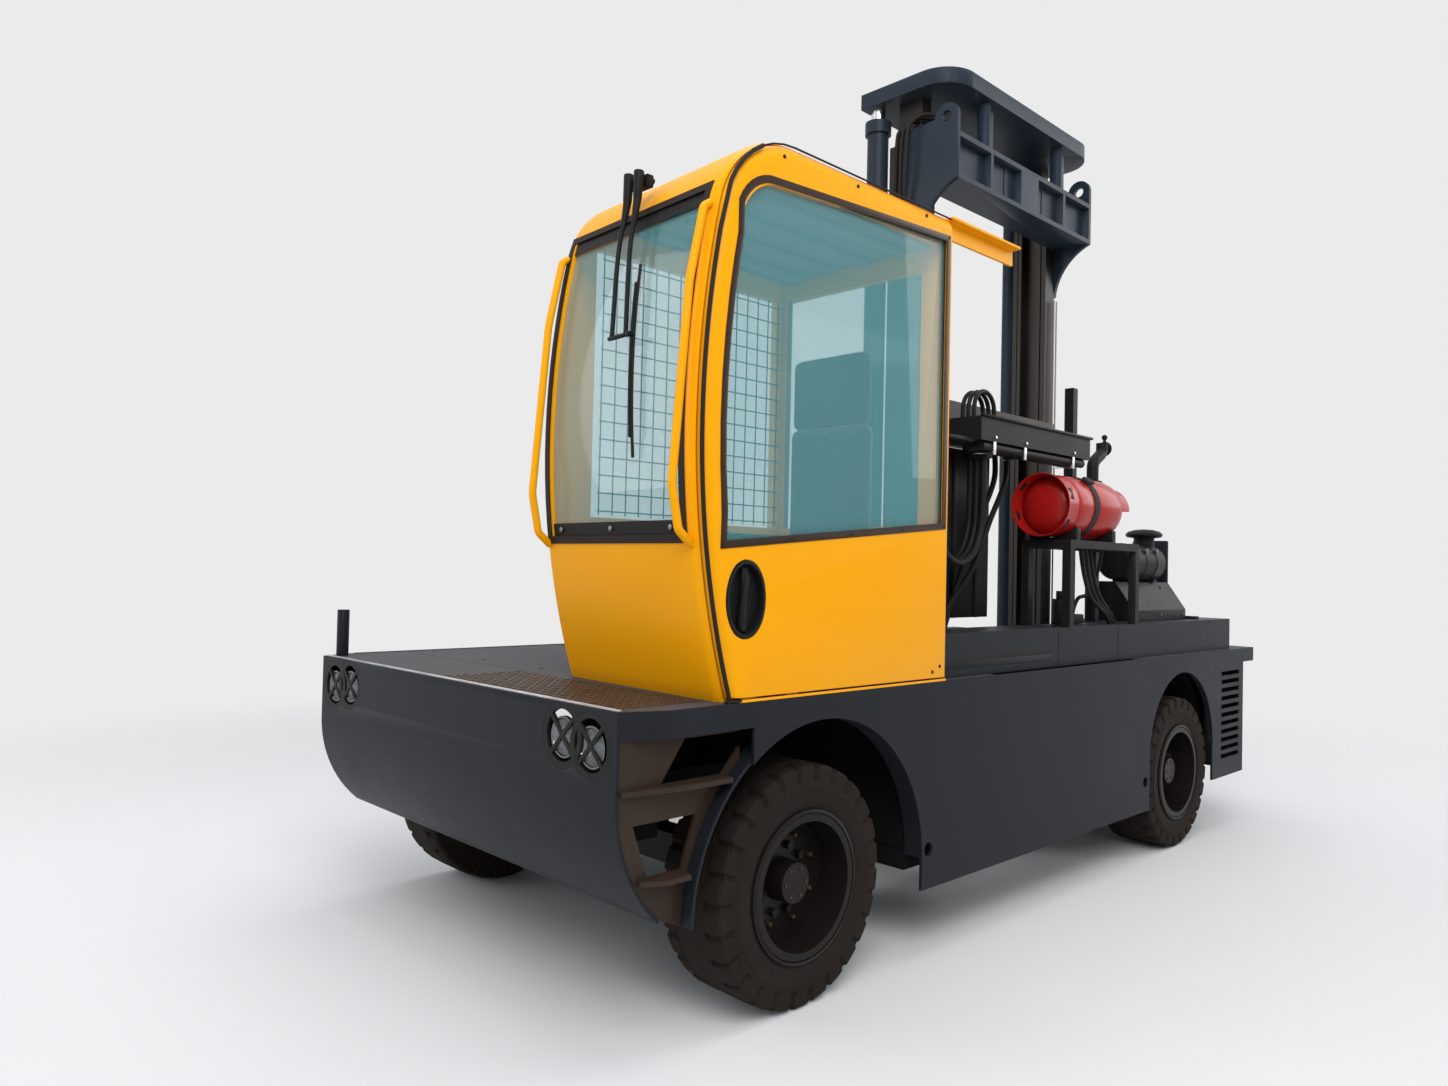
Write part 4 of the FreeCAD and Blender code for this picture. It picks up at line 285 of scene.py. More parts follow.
TYRE_RUBBER = Finish("tyre_rubber", (0.015, 0.0105, 0.0085), 0.68, mottle=0.8, dust=0.45,
                     dust_height=1.2, dust_colour=(0.055, 0.042, 0.034), grain=260.0, bump=0.0016,
                     scale=7.0)
SEAL_RUBBER = Finish("seal_rubber", (0.022, 0.016, 0.014), 0.55, mottle=0.3, dust=0.12)
CHROME = Finish("hard_chrome", (0.70, 0.71, 0.73), 0.16, metallic=1.0, mottle=0.05, dust=0.05)
STEEL = Finish("pipe_steel", (0.16, 0.165, 0.17), 0.36, metallic=0.9, mottle=0.4, dust=0.2)
ENGINE_IRON = Finish("engine_iron", (0.06, 0.06, 0.06), 0.6, mottle=0.6, dust=0.4)
SEAT_CLOTH = Finish("seat_cloth", (0.030, 0.032, 0.036), 0.85, mottle=0.3, dust=0.1,
                    grain=1500.0, bump=0.002, kind=Coat.CLOTH)
# Glass colour: partly the glass's own tint and partly a painted reflection of a teal sky.
GLASS_TINT_AND_SKY_REFLECTION = Finish("cab_glass", (0.14, 0.50, 0.54), 0.02, mottle=0.1, dust=0.0, bump=0.0,
                   kind=Coat.GLASS, alpha=0.24, shine=0.9)
LAMP_GLASS = Finish("lamp_glass", (0.40, 0.43, 0.46), 0.04, mottle=0.1, dust=0.0, bump=0.0,
                    kind=Coat.GLASS, alpha=0.25, shine=0.9)
HOSE_RUBBER = Finish("hose_rubber", (0.012, 0.012, 0.012), 0.42, mottle=0.3, dust=0.25)
WINDOW_RUBBER = Finish("window_rubber", (0.030, 0.014, 0.008), 0.42, coat=0.2, mottle=0.3,
                       dust=0.15)
RUSTY_STEEL = Finish("rusty_steel", (0.080, 0.045, 0.025), 0.5, metallic=0.4, mottle=0.7,
                     dust=0.4)
OILY_STEEL = Finish("oily_steel", (0.11, 0.10, 0.09), 0.34, metallic=0.8, mottle=0.6, dust=0.3)
BRASS = Finish("brass", (0.42, 0.27, 0.09), 0.35, metallic=1.0, mottle=0.2, dust=0.1)
STRAP_WEB = Finish("strap_web", (0.035, 0.035, 0.035), 0.7, mottle=0.6, grain=900.0, bump=0.002)
WORN_PLATE = Finish("worn_plate", (0.060, 0.048, 0.040), 0.45, metallic=0.5, mottle=0.8,
                    dust=0.6, dust_height=4.0, dust_colour=(0.20, 0.09, 0.03), scale=5.0)
# Near-black for the rear arch liners, and for the plates that paint the shade behind louvres and
# openings.
LINER_AND_SHADE_BLACK = Finish("liner_and_shade_black", (0.006, 0.006, 0.006), 0.8, mottle=0.2, dust=0.2,
                     dust_colour=(0.02, 0.018, 0.015))
WORN_EDGE = Finish("worn_edge", (0.50, 0.50, 0.51), 0.35, metallic=0.6, mottle=0.9, dust=0.2,
                   scale=9.0)
LAMP_BOWL = Finish("lamp_bowl", (0.16, 0.17, 0.18), 0.16, metallic=1.0, mottle=0.05, dust=0.0)
TAIL_RED = Finish("tail_red", (0.35, 0.008, 0.006), 0.2, coat=0.5, mottle=0.05, dust=0.05)
LINING_GREY = Finish("lining_grey", (0.30, 0.31, 0.32), 0.8, mottle=0.1, dust=0.05)
FLOOR_PALE = Finish("floor_pale", (0.80, 0.80, 0.805), 0.9, mottle=0.02, dust=0.0, bump=0.0,
                    kind=Coat.FLOOR, shine=0.1)

FINISHES = (STEP_RUST_AND_SUN_REFLECTION, WORN_EDGE, CAB_YELLOW, CHASSIS_GREY, DECK_GREY, MAST_GREY, MAST_RAIL,
            DARK_METAL, BLACK_PLASTIC, GAS_RED, RIM_BLACK, TYRE_RUBBER, SEAL_RUBBER, CHROME, STEEL,
            ENGINE_IRON, SEAT_CLOTH, GLASS_TINT_AND_SKY_REFLECTION, LAMP_GLASS, FLOOR_PALE, HOSE_RUBBER,
            WINDOW_RUBBER, RUSTY_STEEL, OILY_STEEL, BRASS, STRAP_WEB, WORN_PLATE,
            LINER_AND_SHADE_BLACK, LAMP_BOWL, TAIL_RED, LINING_GREY)


def paint(piece: bpy.types.Object, finish: Finish) -> None:
    """Put one finish on a whole piece."""
    piece.data.materials.clear()
    piece.data.materials.append(bpy.data.materials[f"look_{finish.name}"])


class Stock:
    """A mesh that grows by whole shapes and becomes one piece."""

    def __init__(self) -> None:
        """Start with an empty mesh."""
        self.mesh = bmesh.new()

    def _soften(self, verts: Iterable, width: float) -> None:
        """Round the edges of one new shape.

        Args:
            verts: The vertices of the shape.
            width: Width of the rounding, or 0 for none.
        """
        if width <= 0:
            return
        inside = set(verts)
        edges = [edge for vert in inside for edge in vert.link_edges
                 if edge.other_vert(vert) in inside]
        edges = [edge for edge in dict.fromkeys(edges)
                 if len(edge.link_faces) == 2 and edge.calc_face_angle(0) > math.radians(SHARP_ANGLE)]
        bmesh.ops.bevel(self.mesh, geom=edges, offset=width, offset_type="OFFSET",
                        affect="EDGES", segments=EDGE_STEPS, profile=0.5, material=-1,
                        clamp_overlap=True)

    def box(self, low: Point, high: Point, edge: float = 0.002,
            turn: Matrix | None = None) -> "Stock":
        """Add a box between two corners.

        Args:
            low: The corner with the smallest numbers.
            high: The corner with the largest numbers.
            edge: Width of the rounded edges.
            turn: A rotation about the box's own middle.

        Returns:
            This stock.
        """
        low, high = Vector(low), Vector(high)
        size = high - low
        place = Matrix.Translation((low + high) / 2) @ (turn or Matrix.Identity(4))
        made = bmesh.ops.create_cube(self.mesh, size=1.0,
                                     matrix=place @ Matrix.Diagonal((*size, 1.0)))
        self._soften(made["verts"], min(edge, min(size) * 0.45))
        return self

    def rod(self, start: Point, end: Point, radius: float, edge: float = 0.0,
            sides: int = 20, end_radius: float | None = None) -> "Stock":
        """Add a round bar, or a cone, between two points.

        Args:
            start: Middle of the first end.
            end: Middle of the other end.
            radius: Radius at the start.
            edge: Width of the rounded edges.
            sides: Number of sides.
            end_radius: Radius at the end, if it differs.

        Returns:
            This stock.
        """
        start, end = Vector(start), Vector(end)
        along = end - start
        turn = along.to_track_quat("Z", "Y").to_matrix().to_4x4()
        made = bmesh.ops.create_cone(
            self.mesh, cap_ends=True, segments=sides, radius1=radius,
            radius2=radius if end_radius is None else end_radius, depth=along.length,
            matrix=Matrix.Translation((start + end) / 2) @ turn)
        self._soften(made["verts"], edge)
        return self

    def ball(self, centre: Point, radius: float) -> "Stock":
        """Add a ball about a point."""
        bmesh.ops.create_uvsphere(self.mesh, u_segments=20, v_segments=12, radius=radius,
                                  matrix=Matrix.Translation(Vector(centre)))
        return self

    def lathe(self, outline: Sequence[tuple[float, float]], centre: Point, axis: Axis,
              steps: int = 48) -> "Stock":
        """Turn an outline of (along, radius) points about an axis.

        Args:
            outline: Points from one end to the other, or round a closed section.
            centre: Where the outline's zero lies.
            axis: The axis of the turning.
            steps: Number of steps round.

        Returns:
            This stock.
        """
        made = [self.mesh.verts.new((radius, 0.0, along)) for along, radius in outline]
        edges = [self.mesh.edges.new(pair) for pair in zip(made, made[1:])]
        swept = bmesh.ops.spin(self.mesh, geom=made + edges, axis=(0, 0, 1), cent=(0, 0, 0),
                               angle=math.tau, steps=steps, use_merge=True)
        ring = {vert for vert in made if vert.is_valid}
        ring.update(item for item in swept["geom_last"] if isinstance(item, bmesh.types.BMVert))
        todo = list(ring)
        while todo:
            for edge in todo.pop().link_edges:
                for vert in edge.verts:
                    if vert not in ring:
                        ring.add(vert)
                        todo.append(vert)
        bmesh.ops.remove_doubles(self.mesh, verts=list(ring), dist=MERGE_DISTANCE)
        ring = {vert for vert in ring if vert.is_valid}
        faces = {face for vert in ring for face in vert.link_faces}
        bmesh.ops.recalc_face_normals(self.mesh, faces=list(faces))
        bmesh.ops.transform(self.mesh, matrix=Matrix.Translation(Vector(centre)) @ axis.turn(),
                            verts=list(ring))
        return self

    def slab(self, outline: Sequence[Point], push: Point, edge: float = 0.0) -> "Stock":
        """Push a flat outline of points through to a solid.

        Args:
            outline: The corners in order.
            push: Direction and depth of the push.
            edge: Width of the rounded edges.

        Returns:
            This stock.
        """
        face = self.mesh.faces.new([self.mesh.verts.new(point) for point in outline])
        made = bmesh.ops.extrude_face_region(self.mesh, geom=[face], use_keep_orig=True)
        far = [item for item in made["geom"] if isinstance(item, bmesh.types.BMVert)]
        bmesh.ops.translate(self.mesh, verts=far, vec=Vector(push))
        verts = far + list(face.verts)
        bmesh.ops.recalc_face_normals(
            self.mesh, faces=list({item for vert in verts for item in vert.link_faces}))
        self._soften(verts, edge)
        return self

    def rim(self, outline: Sequence[Point], width: float, push: Point,
            edge: float = 0.0) -> "Stock":
        """A flat band of one width inside an outline, pushed through to a solid.

        Args:
            outline: The outer corners in order.
            width: Width of the band.
            push: Direction and depth of the push.
            edge: Width of the rounded edges.

        Returns:
            This stock.
        """
        face = self.mesh.faces.new([self.mesh.verts.new(point) for point in outline])
        face.normal_update()
        band = bmesh.ops.inset_region(self.mesh, faces=[face], thickness=width,
                                      use_even_offset=True, use_boundary=True)["faces"]
        bmesh.ops.delete(self.mesh, geom=[face], context="FACES_ONLY")
        made = bmesh.ops.extrude_face_region(self.mesh, geom=band, use_keep_orig=True)
        far = [item for item in made["geom"] if isinstance(item, bmesh.types.BMVert)]
        bmesh.ops.translate(self.mesh, verts=far, vec=Vector(push))
        verts = far + [vert for item in band for vert in item.verts]
        bmesh.ops.recalc_face_normals(
            self.mesh, faces=list({item for vert in verts for item in vert.link_faces}))
        self._soften(verts, edge)
        return self

    def cut_up(self, heights: Iterable[float]) -> "Stock":
        """Divide the mesh by level planes, so that it can be bent.

        Args:
            heights: The height of each plane.

        Returns:
            This stock.
        """
        for height in heights:
            bmesh.ops.bisect_plane(
                self.mesh, geom=self.mesh.verts[:] + self.mesh.edges[:] + self.mesh.faces[:],
                plane_co=(0, 0, height), plane_no=(0, 0, 1))
        return self

    def bend(self, shift: Callable[[Vector], Vector]) -> "Stock":
        """Move every vertex by what a function says for its place."""
        for vert in self.mesh.verts:
            vert.co += shift(vert.co)
        return self


def smooth_path(points: Sequence[Point], steps: int = 10) -> list[Vector]:
    """One smooth line through every point.

    Args:
        points: The points in order.
        steps: Parts between two points.

    Returns:
        Points close together along the line.
    """
    spots = [Vector(point) for point in points]
    spots = [spots[0] * 2 - spots[1], *spots, spots[-1] * 2 - spots[-2]]
    line = []
    for first, second, third, fourth in zip(spots, spots[1:], spots[2:], spots[3:]):
        for index in range(steps):
            t = index / steps
            line.append(0.5 * (second * 2 + (third - first) * t
                               + (first * 2 - second * 5 + third * 4 - fourth) * t ** 2
                               + (second * 3 - first - third * 3 + fourth) * t ** 3))
    return line + [spots[-2]]


def half_turn(first: Point, last: Point, steps: int = 6) -> list[Vector]:
    """Points of an upward half circle from one point to another at the same height.

    Args:
        first: Where the half circle starts.
        last: Where it ends.
        steps: Number of parts.

    Returns:
        The points, with both ends.
    """
    middle = (Vector(first) + Vector(last)) / 2
    reach = Vector(first) - middle
    return [middle + reach * math.cos(math.pi * index / steps)
            + Vector((0, 0, reach.length * math.sin(math.pi * index / steps)))
            for index in range(steps + 1)]


def path_length(line: Sequence[Vector]) -> float:
    """Length of a line of points."""
    return sum((there - here).length for here, there in zip(line, line[1:]))


@dataclass
class Workshop:
    """Makes, dresses and registers pieces."""

    frame: dict
    made: list[str] = field(default_factory=list)

    def dress(self, obj: bpy.types.Object, finish: Finish, body: str,
              replaces: Sequence[str] = ()) -> bpy.types.Object:
        """Paint a new object, put it on its body and note it.

        Args:
            obj: The new object.
            finish: Its finish.
            body: The body it moves with.
            replaces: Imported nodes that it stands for.

        Returns:
            The object.
        """
        bpy.context.scene.collection.objects.link(obj)
        paint(obj, finish)
        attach(obj, body)
        for node in replaces:
            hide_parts(node)
        self.made.append(obj.name)
        LOG.info("made %s on %s", obj.name, body)
        return obj

    def piece(self, name: str, stock: Stock, finish: Finish, body: str = "chassis",
              replaces: Sequence[str] = (), smooth: float = 35.0) -> bpy.types.Object:
        """Turn a finished stock into a dressed piece that rides on a body.

        Args:
            name: The piece's name.
            stock: The stock, whose mesh is freed.
            finish: The finish of the whole piece.
            body: The body it moves with.
            replaces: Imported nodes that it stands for.
            smooth: Angle in degrees below which edges shade smooth.

        Returns:
            The new object.
        """
        data = bpy.data.meshes.new(name)
        stock.mesh.to_mesh(data)
        stock.mesh.free()
        data.polygons.foreach_set("use_smooth", [True] * len(data.polygons))
        data.set_sharp_from_angle(angle=math.radians(smooth))
        return self.dress(bpy.data.objects.new(name, data), finish, body, replaces)

    def pipe(self, name: str, points: Sequence[Point], radius: float, finish: Finish,
             body: str = "chassis", smooth: bool = True
             ) -> tuple[bpy.types.Object, list[Vector]]:
        """A round pipe, hose or bar along a line.

        Args:
            name: The piece's name.
            points: Points in order.
            radius: Radius of the pipe.
            finish: Its finish.
            body: The body it moves with.
            smooth: Whether the line is curved through the points.

        Returns:
            The new object and its line.
        """
        line = smooth_path(points) if smooth else [Vector(point) for point in points]
        data = bpy.data.curves.new(name, "CURVE")
        data.dimensions = "3D"
        data.bevel_depth = radius
        data.bevel_resolution = 4
        data.use_fill_caps = True
        spline = data.splines.new("POLY")
        spline.points.add(len(line) - 1)
        for spot, point in zip(spline.points, line):
            spot.co = (*point, 1.0)
        spline.use_smooth = True
        return self.dress(bpy.data.objects.new(name, data), finish, body), line

    def hose(self, name: str, points: Sequence[Point], radius: float,
             body: str = "chassis") -> None:
        """A rubber hose whose two ends go into the machine.

        Args:
            name: The piece's name.
            points: Points in order.
            radius: Radius of the hose.
            body: The body it moves with.
        """
        obj, line = self.pipe(name, points, radius, HOSE_RUBBER, body)
        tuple(line[0])
        path_length(line)

    def body_of(self, node: str) -> str:
        """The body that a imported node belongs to."""
        return self.frame["nodes"][node]["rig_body"]

    def softened(self, node: str, finish: Finish, width: float) -> None:
        """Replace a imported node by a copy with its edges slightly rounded.

        Args:
            node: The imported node.
            finish: The finish of the copy.
            width: Width of the rounded edges.
        """
        stock = Stock()
        stock.mesh.from_mesh(self.frame["nodes"][node].data)
        bmesh.ops.remove_doubles(stock.mesh, verts=stock.mesh.verts, dist=MERGE_DISTANCE)
        obj = self.piece(f"{node}_form", stock, finish, self.body_of(node), (node,))
        bevel = obj.modifiers.new("edge", "BEVEL")
        bevel.width = width
        bevel.segments = EDGE_STEPS
        bevel.limit_method = "ANGLE"
        bevel.angle_limit = math.radians(32)
        bevel.harden_normals = True


@dataclass(frozen=True)
class CabFront:
    """The cab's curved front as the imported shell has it, and what lies on it."""

    middle_x: float = 2.312
    middle_z: float = 1.980
    low_r: float = 2.743
    high_r: float = 3.250
    brow_r: float = 0.340
    top: float = 2.970
    near: float = 1.120
    turn: float = 3.2

    def brow(self) -> tuple[float, float]:
        """Middle of the brow's arc as (x, z)."""
        z = self.top - self.brow_r
        apart = self.high_r - self.brow_r
        x = self.middle_x - self.high_r + math.sqrt(apart ** 2 - (z - self.middle_z) ** 2)
        return x, z

    def face(self, z: float, y: float | None = None, out: float = 0.0) -> float:
        """How far forward the front lies.

        Args:
            z: Height.
            y: Place across the cab, or None for its near side.
            out: Distance in front of the face.

        Returns:
            The X of the face.
        """
        brow_x, brow_z = self.brow()
        meet_z = brow_z + self.brow_r * (brow_z - self.middle_z) / (self.high_r - self.brow_r)
        if z > meet_z:
            x = brow_x + math.sqrt(max(0.0, self.brow_r ** 2 - (z - brow_z) ** 2))
        else:
            radius = self.high_r if z > self.middle_z else self.low_r
            x = self.middle_x - radius + math.sqrt(radius ** 2 - (z - self.middle_z) ** 2)
        back = 0.0 if y is None else (self.near - y) * math.tan(math.radians(self.turn))
        return x - back + out

    def seam(self, inset: float, y: float) -> list[Point]:
        """The line beside the door's front and top edges, set in from the outline.

        Args:
            inset: Distance in from the outline.
            y: The plane of the line.

        Returns:
            The points from the door's foot over the brow to its rear.
        """
        heights = [1.10 + 0.06 * index for index in range(26)]
        line = [(self.face(z, None, -inset), y, z) for z in heights]
        brow_x, brow_z = self.brow()
        for index in range(1, 9):
            turn = math.radians(14 + 76 * index / 8)
            radius = self.brow_r - inset
            line.append((brow_x + radius * math.cos(turn), y, brow_z + radius * math.sin(turn)))
        return line + [(0.945, y, self.top - inset)]


@dataclass(frozen=True)
class CabTrim:
    """Seals, window rubbers, screws, wiper and inside of the cab."""

    front: CabFront = CabFront()
    rubber: float = 0.026
    window_rear: float = 0.974
    window_front: float = 2.212
    sill_rear: float = 1.705
    sill_front: float = 1.590
    screen_low: float = 1.600
    screen_high: float = 2.760
    screen_near: float = 1.032
    screen_far: float = 0.242

    def window(self, grow: float) -> list[Point]:
        """Outline of the door's window in the plane of the door, grown outwards.

        Args:
            grow: Distance outwards from the opening.

        Returns:
            The (x, z) points in order.
        """
        front = self.window_front + grow
        shape = self.front
        points = [(self.window_rear - grow, self.sill_rear - grow)]
        points.append((front - 0.012, self.sill_front - grow))
        for z in (1.70, 1.84, 1.98, 2.12, 2.26, 2.40, 2.52, 2.60):
            points.append((shape.face(z) - shape.middle_x + front, z))
        corner_x, corner_z, radius = front - 0.235, 2.628, 0.185 + grow * 0.3
        for index in range(1, 8):
            turn = math.radians(12 + 78 * index / 8)
            points.append((corner_x + radius * math.cos(turn),
                           corner_z + grow * 0.7 + radius * math.sin(turn)))
        points.append((self.window_rear - grow, 2.868 + grow))
        return points

    def seals(self, shop: Workshop) -> None:
        """Black seals round the door and dark rubbers round the windows.

        Args:
            shop: Makes, dresses and registers the pieces.
        """
        shape = self.front
        line = shape.seam(0.0165, 1.1135)
        shop.pipe("door_seal", line[:31], 0.0075, SEAL_RUBBER, smooth=False)
        shop.pipe("door_top_seal", line[30:], 0.0035, SEAL_RUBBER, smooth=False)
        shop.piece("door_foot_seal", Stock().box((0.95, 1.098, 1.0865), (2.16, 1.119, 1.0945)),
                   SEAL_RUBBER)
        outline = [(x, 1.1195, z) for x, z in self.window(0.012)]
        shop.piece("door_window_rubber", Stock().rim(outline, self.rubber, (0, 0.0035, 0), 0.0012),
                   WINDOW_RUBBER, "door")
        outline = [(x, 1.094, z) for x, z in self.window(0.010)]
        shop.piece("door_window_bed", Stock().rim(outline, 0.018, (0, 0.012, 0)),
                   WINDOW_RUBBER, "door")
        screws = Stock()
        for x, z in ((1.955, 2.905), (1.560, 2.915), (1.130, 2.920), (0.985, 1.145),
                     (1.035, 1.125)):
            screws.rod((x, 1.1185, z), (x, 1.1225, z), 0.007, 0.001, 14)
        shop.piece("door_screws", screws, DARK_METAL, "door")
        pins = Stock()
        frame = self.window(0.002)
        for index in (0, 1, 3, 6, 9, 17):
            x, z = frame[index]
            pins.rod((x, 1.122, z), (x, 1.1245, z), 0.005, 0.0, 10)
        for x in (1.25, 1.56, 1.88):
            share = (x - self.window_rear) / (self.window_front - self.window_rear)
            z = self.sill_rear - share * (self.sill_rear - self.sill_front) - 0.002
            pins.rod((x, 1.122, z), (x, 1.1245, z), 0.005, 0.0, 10)
        shop.piece("door_rubber_pins", pins, DARK_METAL, "door")

    def screen(self, shop: Workshop) -> None:
        """Black border round the windscreen and the band under it.

        Args:
            shop: Makes, dresses and registers the pieces.
        """
        low, high = self.screen_low - 0.006, self.screen_high + 0.014
        near, far = self.screen_near + 0.012, self.screen_far - 0.036
        outline = [(0.0, far, low), (0.0, near, low), (0.0, near, high), (0.0, far, high)]
        band = Stock().rim(outline, 0.028, (0.004, 0, 0))
        band.cut_up([low + (high - low) * index / 14 for index in range(1, 14)])
        band.bend(lambda place: Vector((self.front.face(place.z, place.y, 0.0005), 0, 0)))
        shop.piece("windscreen_rubber", band, SEAL_RUBBER)
        sill = Stock().box((0.0, far + 0.02, low + 0.02), (0.002, near - 0.02, low + 0.075), 0.0)
        sill.bend(lambda place: Vector((self.front.face(place.z, place.y, -0.006), 0, 0)))
        shop.piece("windscreen_band", sill, BLACK_PLASTIC)
        top = Stock().box((0.0, far + 0.02, high - 0.075), (0.002, near - 0.02, high - 0.02), 0.0)
        top.cut_up([high - 0.075 + 0.015 * index for index in range(1, 4)])
        top.bend(lambda place: Vector((self.front.face(place.z, place.y, -0.006), 0, 0)))
        shop.piece("windscreen_top_band", top, BLACK_PLASTIC)
        clamps = Stock()
        for y in (0.30, 0.62, 0.96):
            z = low + 0.052
            x = self.front.face(z, y)
            clamps.rod((x - 0.006, y, z), (x + 0.004, y, z), 0.010, 0.002, 14)
        shop.piece("windscreen_clamps", clamps, STEEL)

    def wiper(self, shop: Workshop) -> None:
        """Twin-arm wiper hanging from the brow of the roof.

        Args:
            shop: Makes, dresses and registers the pieces.
        """
        face = self.front.face
        bracket = Stock().box((2.165, 0.600, 2.850), (2.195, 0.690, 2.895), 0.004)
        bracket.rod((2.150, 0.668, 2.880), (2.222, 0.668, 2.888), 0.012, 0.002)
        bracket.rod((2.150, 0.612, 2.880), (2.222, 0.612, 2.888), 0.012, 0.002)
        shop.piece("wiper_bracket", bracket, BLACK_PLASTIC)
        for tag, top, bottom in (("near", 0.666, 0.724), ("far", 0.610, 0.648)):
            line = [(2.214, top, 2.893), (face(2.80, 0.66, 0.055), top + 0.005, 2.800),
                    (face(2.60, 0.66, 0.038), top + (bottom - top) * 0.4, 2.600),
                    (face(2.30, 0.66, 0.030), bottom, 2.305)]
            shop.pipe(f"wiper_arm_{tag}", line, 0.0085, BLACK_PLASTIC)
            sleeve = Stock().rod((2.214, top, 2.902), line[1], 0.019, 0.003, 14, 0.016)
            sleeve.rod(line[1], Vector(line[1]).lerp(Vector(line[2]), 0.5), 0.015, 0.0, 14, 0.009)
            shop.piece(f"wiper_sleeve_{tag}", sleeve, BLACK_PLASTIC)
        joint = Stock().rod((face(2.30, 0.66, 0.032), 0.635, 2.298),
                            (face(2.30, 0.75, 0.030), 0.756, 2.300), 0.008, 0.002, 14)
        joint.rod((face(2.30, 0.75, 0.012), 0.748, 2.300), (face(2.30, 0.75, 0.040), 0.748, 2.300),
                  0.010, 0.002, 14)
        shop.piece("wiper_joint", joint, BLACK_PLASTIC)
        heights = [1.88 + 0.067 * index for index in range(11)]
        for name, out, spots, radius, finish in (
                ("wiper_blade", 0.009, heights, 0.0055, SEAL_RUBBER),
                ("wiper_blade_back", 0.020, heights[1:-1], 0.0045, BLACK_PLASTIC)):
            line = [(face(z, 0.752, out), 0.777 - (z - 1.88) * 0.066, z) for z in spots]
            shop.pipe(name, line, radius, finish)

    def grip(self, shop: Workshop) -> None:
        """Rim and bowed bar of the door's oval handle recess.

        Args:
            shop: Makes, dresses and registers the pieces.
        """
        x, z = 2.090, 1.418
        ring = [(x + 0.0895 * math.cos(turn) * (1 + 0.03 * math.sin(2 * turn) ** 2), 1.0900,
                 z + 0.1265 * math.sin(turn)) for turn in
                (math.tau * index / 36 for index in range(36))]
        shop.piece("handle_rim", Stock().rim(ring, 0.012, (0, 0.0325, 0), 0.001),
                   BLACK_PLASTIC, "door")
        bar = [(x - 0.004, 1.092, z + 0.105), (x - 0.010, 1.106, z + 0.070),
               (x + 0.004, 1.112, z + 0.010), (x + 0.012, 1.108, z - 0.060),
               (x + 0.004, 1.092, z - 0.105)]
        shop.pipe("handle_bar", bar, 0.011, BLACK_PLASTIC, "door")

    def inside(self, shop: Workshop) -> None:
        """Seat, steering column, console, guard of wires and roof lining.

        Args:
            shop: Makes, dresses and registers the pieces.
        """
        seat = Stock().box((1.125, 0.415, 1.418), (1.580, 0.865, 1.512), 0.040)
        cushion = shop.piece("seat_pad", seat, SEAT_CLOTH, replaces=("seat_cushion",))
        back = Stock().box((1.062, 0.425, 1.535), (1.160, 0.855, 2.140), 0.045)
        rest = shop.piece("seat_rest", back, SEAT_CLOTH, replaces=("seat_back",))
        for pad, limit in ((cushion, 0.007), (rest, 0.008)):
            puff(pad, limit)
        head = Stock().box((1.075, 0.440, 2.120), (1.150, 0.840, 2.430), 0.036)
        shop.piece("seat_head", head, SEAT_CLOTH)
        arms = Stock()
        for y in (0.395, 0.885):
            arms.box((1.15, y - 0.028, 1.62), (1.50, y + 0.028, 1.665), 0.018)
            arms.box((1.14, y - 0.012, 1.50), (1.19, y + 0.012, 1.64), 0.006)
        shop.piece("seat_arms", arms, BLACK_PLASTIC)
        ribs = [(0.0, 0.062), (0.10, 0.060)]
        for index in range(6):
            ribs += [(0.11 + 0.03 * index, 0.088 - 0.004 * index),
                     (0.125 + 0.03 * index, 0.066 - 0.003 * index)]
        ribs += [(0.300, 0.036), (0.500, 0.030), (0.520, 0.045), (0.545, 0.040), (0.546, 0.0)]
        column_x, column_y = 1.960, 0.640
        column = Stock().lathe(ribs, (column_x, column_y, 1.110), Axis.Z, 36)
        wheel = [(0.510 + 0.014 * math.sin(turn), 0.176 + 0.014 * math.cos(turn))
                 for turn in (math.tau * index / 12 for index in range(13))]
        column.lathe(wheel, (column_x, column_y, 1.128), Axis.Z, 48)
        for turn in (0.5, 2.6, 4.71):
            across, along = math.cos(turn), math.sin(turn)
            column.rod((column_x + 0.03 * across, column_y + 0.03 * along, 1.640),
                       (column_x + 0.17 * across, column_y + 0.17 * along, 1.638),
                       0.010, 0.0, 10)
        shop.piece("steering_unit", column, BLACK_PLASTIC, replaces=("steering_column",))
        console = Stock().box((1.10, 0.235, 1.125), (1.75, 0.345, 1.640), 0.020)
        console.box((2.02, 0.260, 1.125), (2.13, 0.980, 1.520), 0.020)
        console.rod((1.60, 0.290, 1.630), (1.63, 0.290, 1.760), 0.010)
        console.ball((1.633, 0.290, 1.775), 0.024)
        shop.piece("cab_console", console, BLACK_PLASTIC)
        guard = Stock()
        for index in range(15):
            z = 1.730 + 0.071 * index
            guard.rod((1.00, 0.224, z), (2.03, 0.224, z), 0.0028, 0.0, 6)
        for index in range(16):
            x = 1.02 + 0.067 * index
            guard.rod((x, 0.229, 1.715), (x, 0.229, 2.750), 0.0028, 0.0, 6)
        shop.piece("window_guard", guard, DARK_METAL)
        lining = Stock().box((0.985, 0.230, 2.846), (1.90, 1.030, 2.862), 0.004)
        for index in range(4):
            y = 0.36 + 0.19 * index
            lining.box((1.02, y - 0.022, 2.815), (1.88, y + 0.022, 2.848), 0.008)
        frame = [(0.9595, y, z) for y, z in ((0.185, 1.130), (1.070, 1.130), (1.070, 2.850),
                                             (0.185, 2.850))]
        lining.rim(frame, 0.078, (0.004, 0, 0))
        shop.piece("roof_lining", lining, LINING_GREY)
        sill = Stock().box((0.9590, 0.20, 1.130), (0.9640, 1.060, 1.700), 0.0)
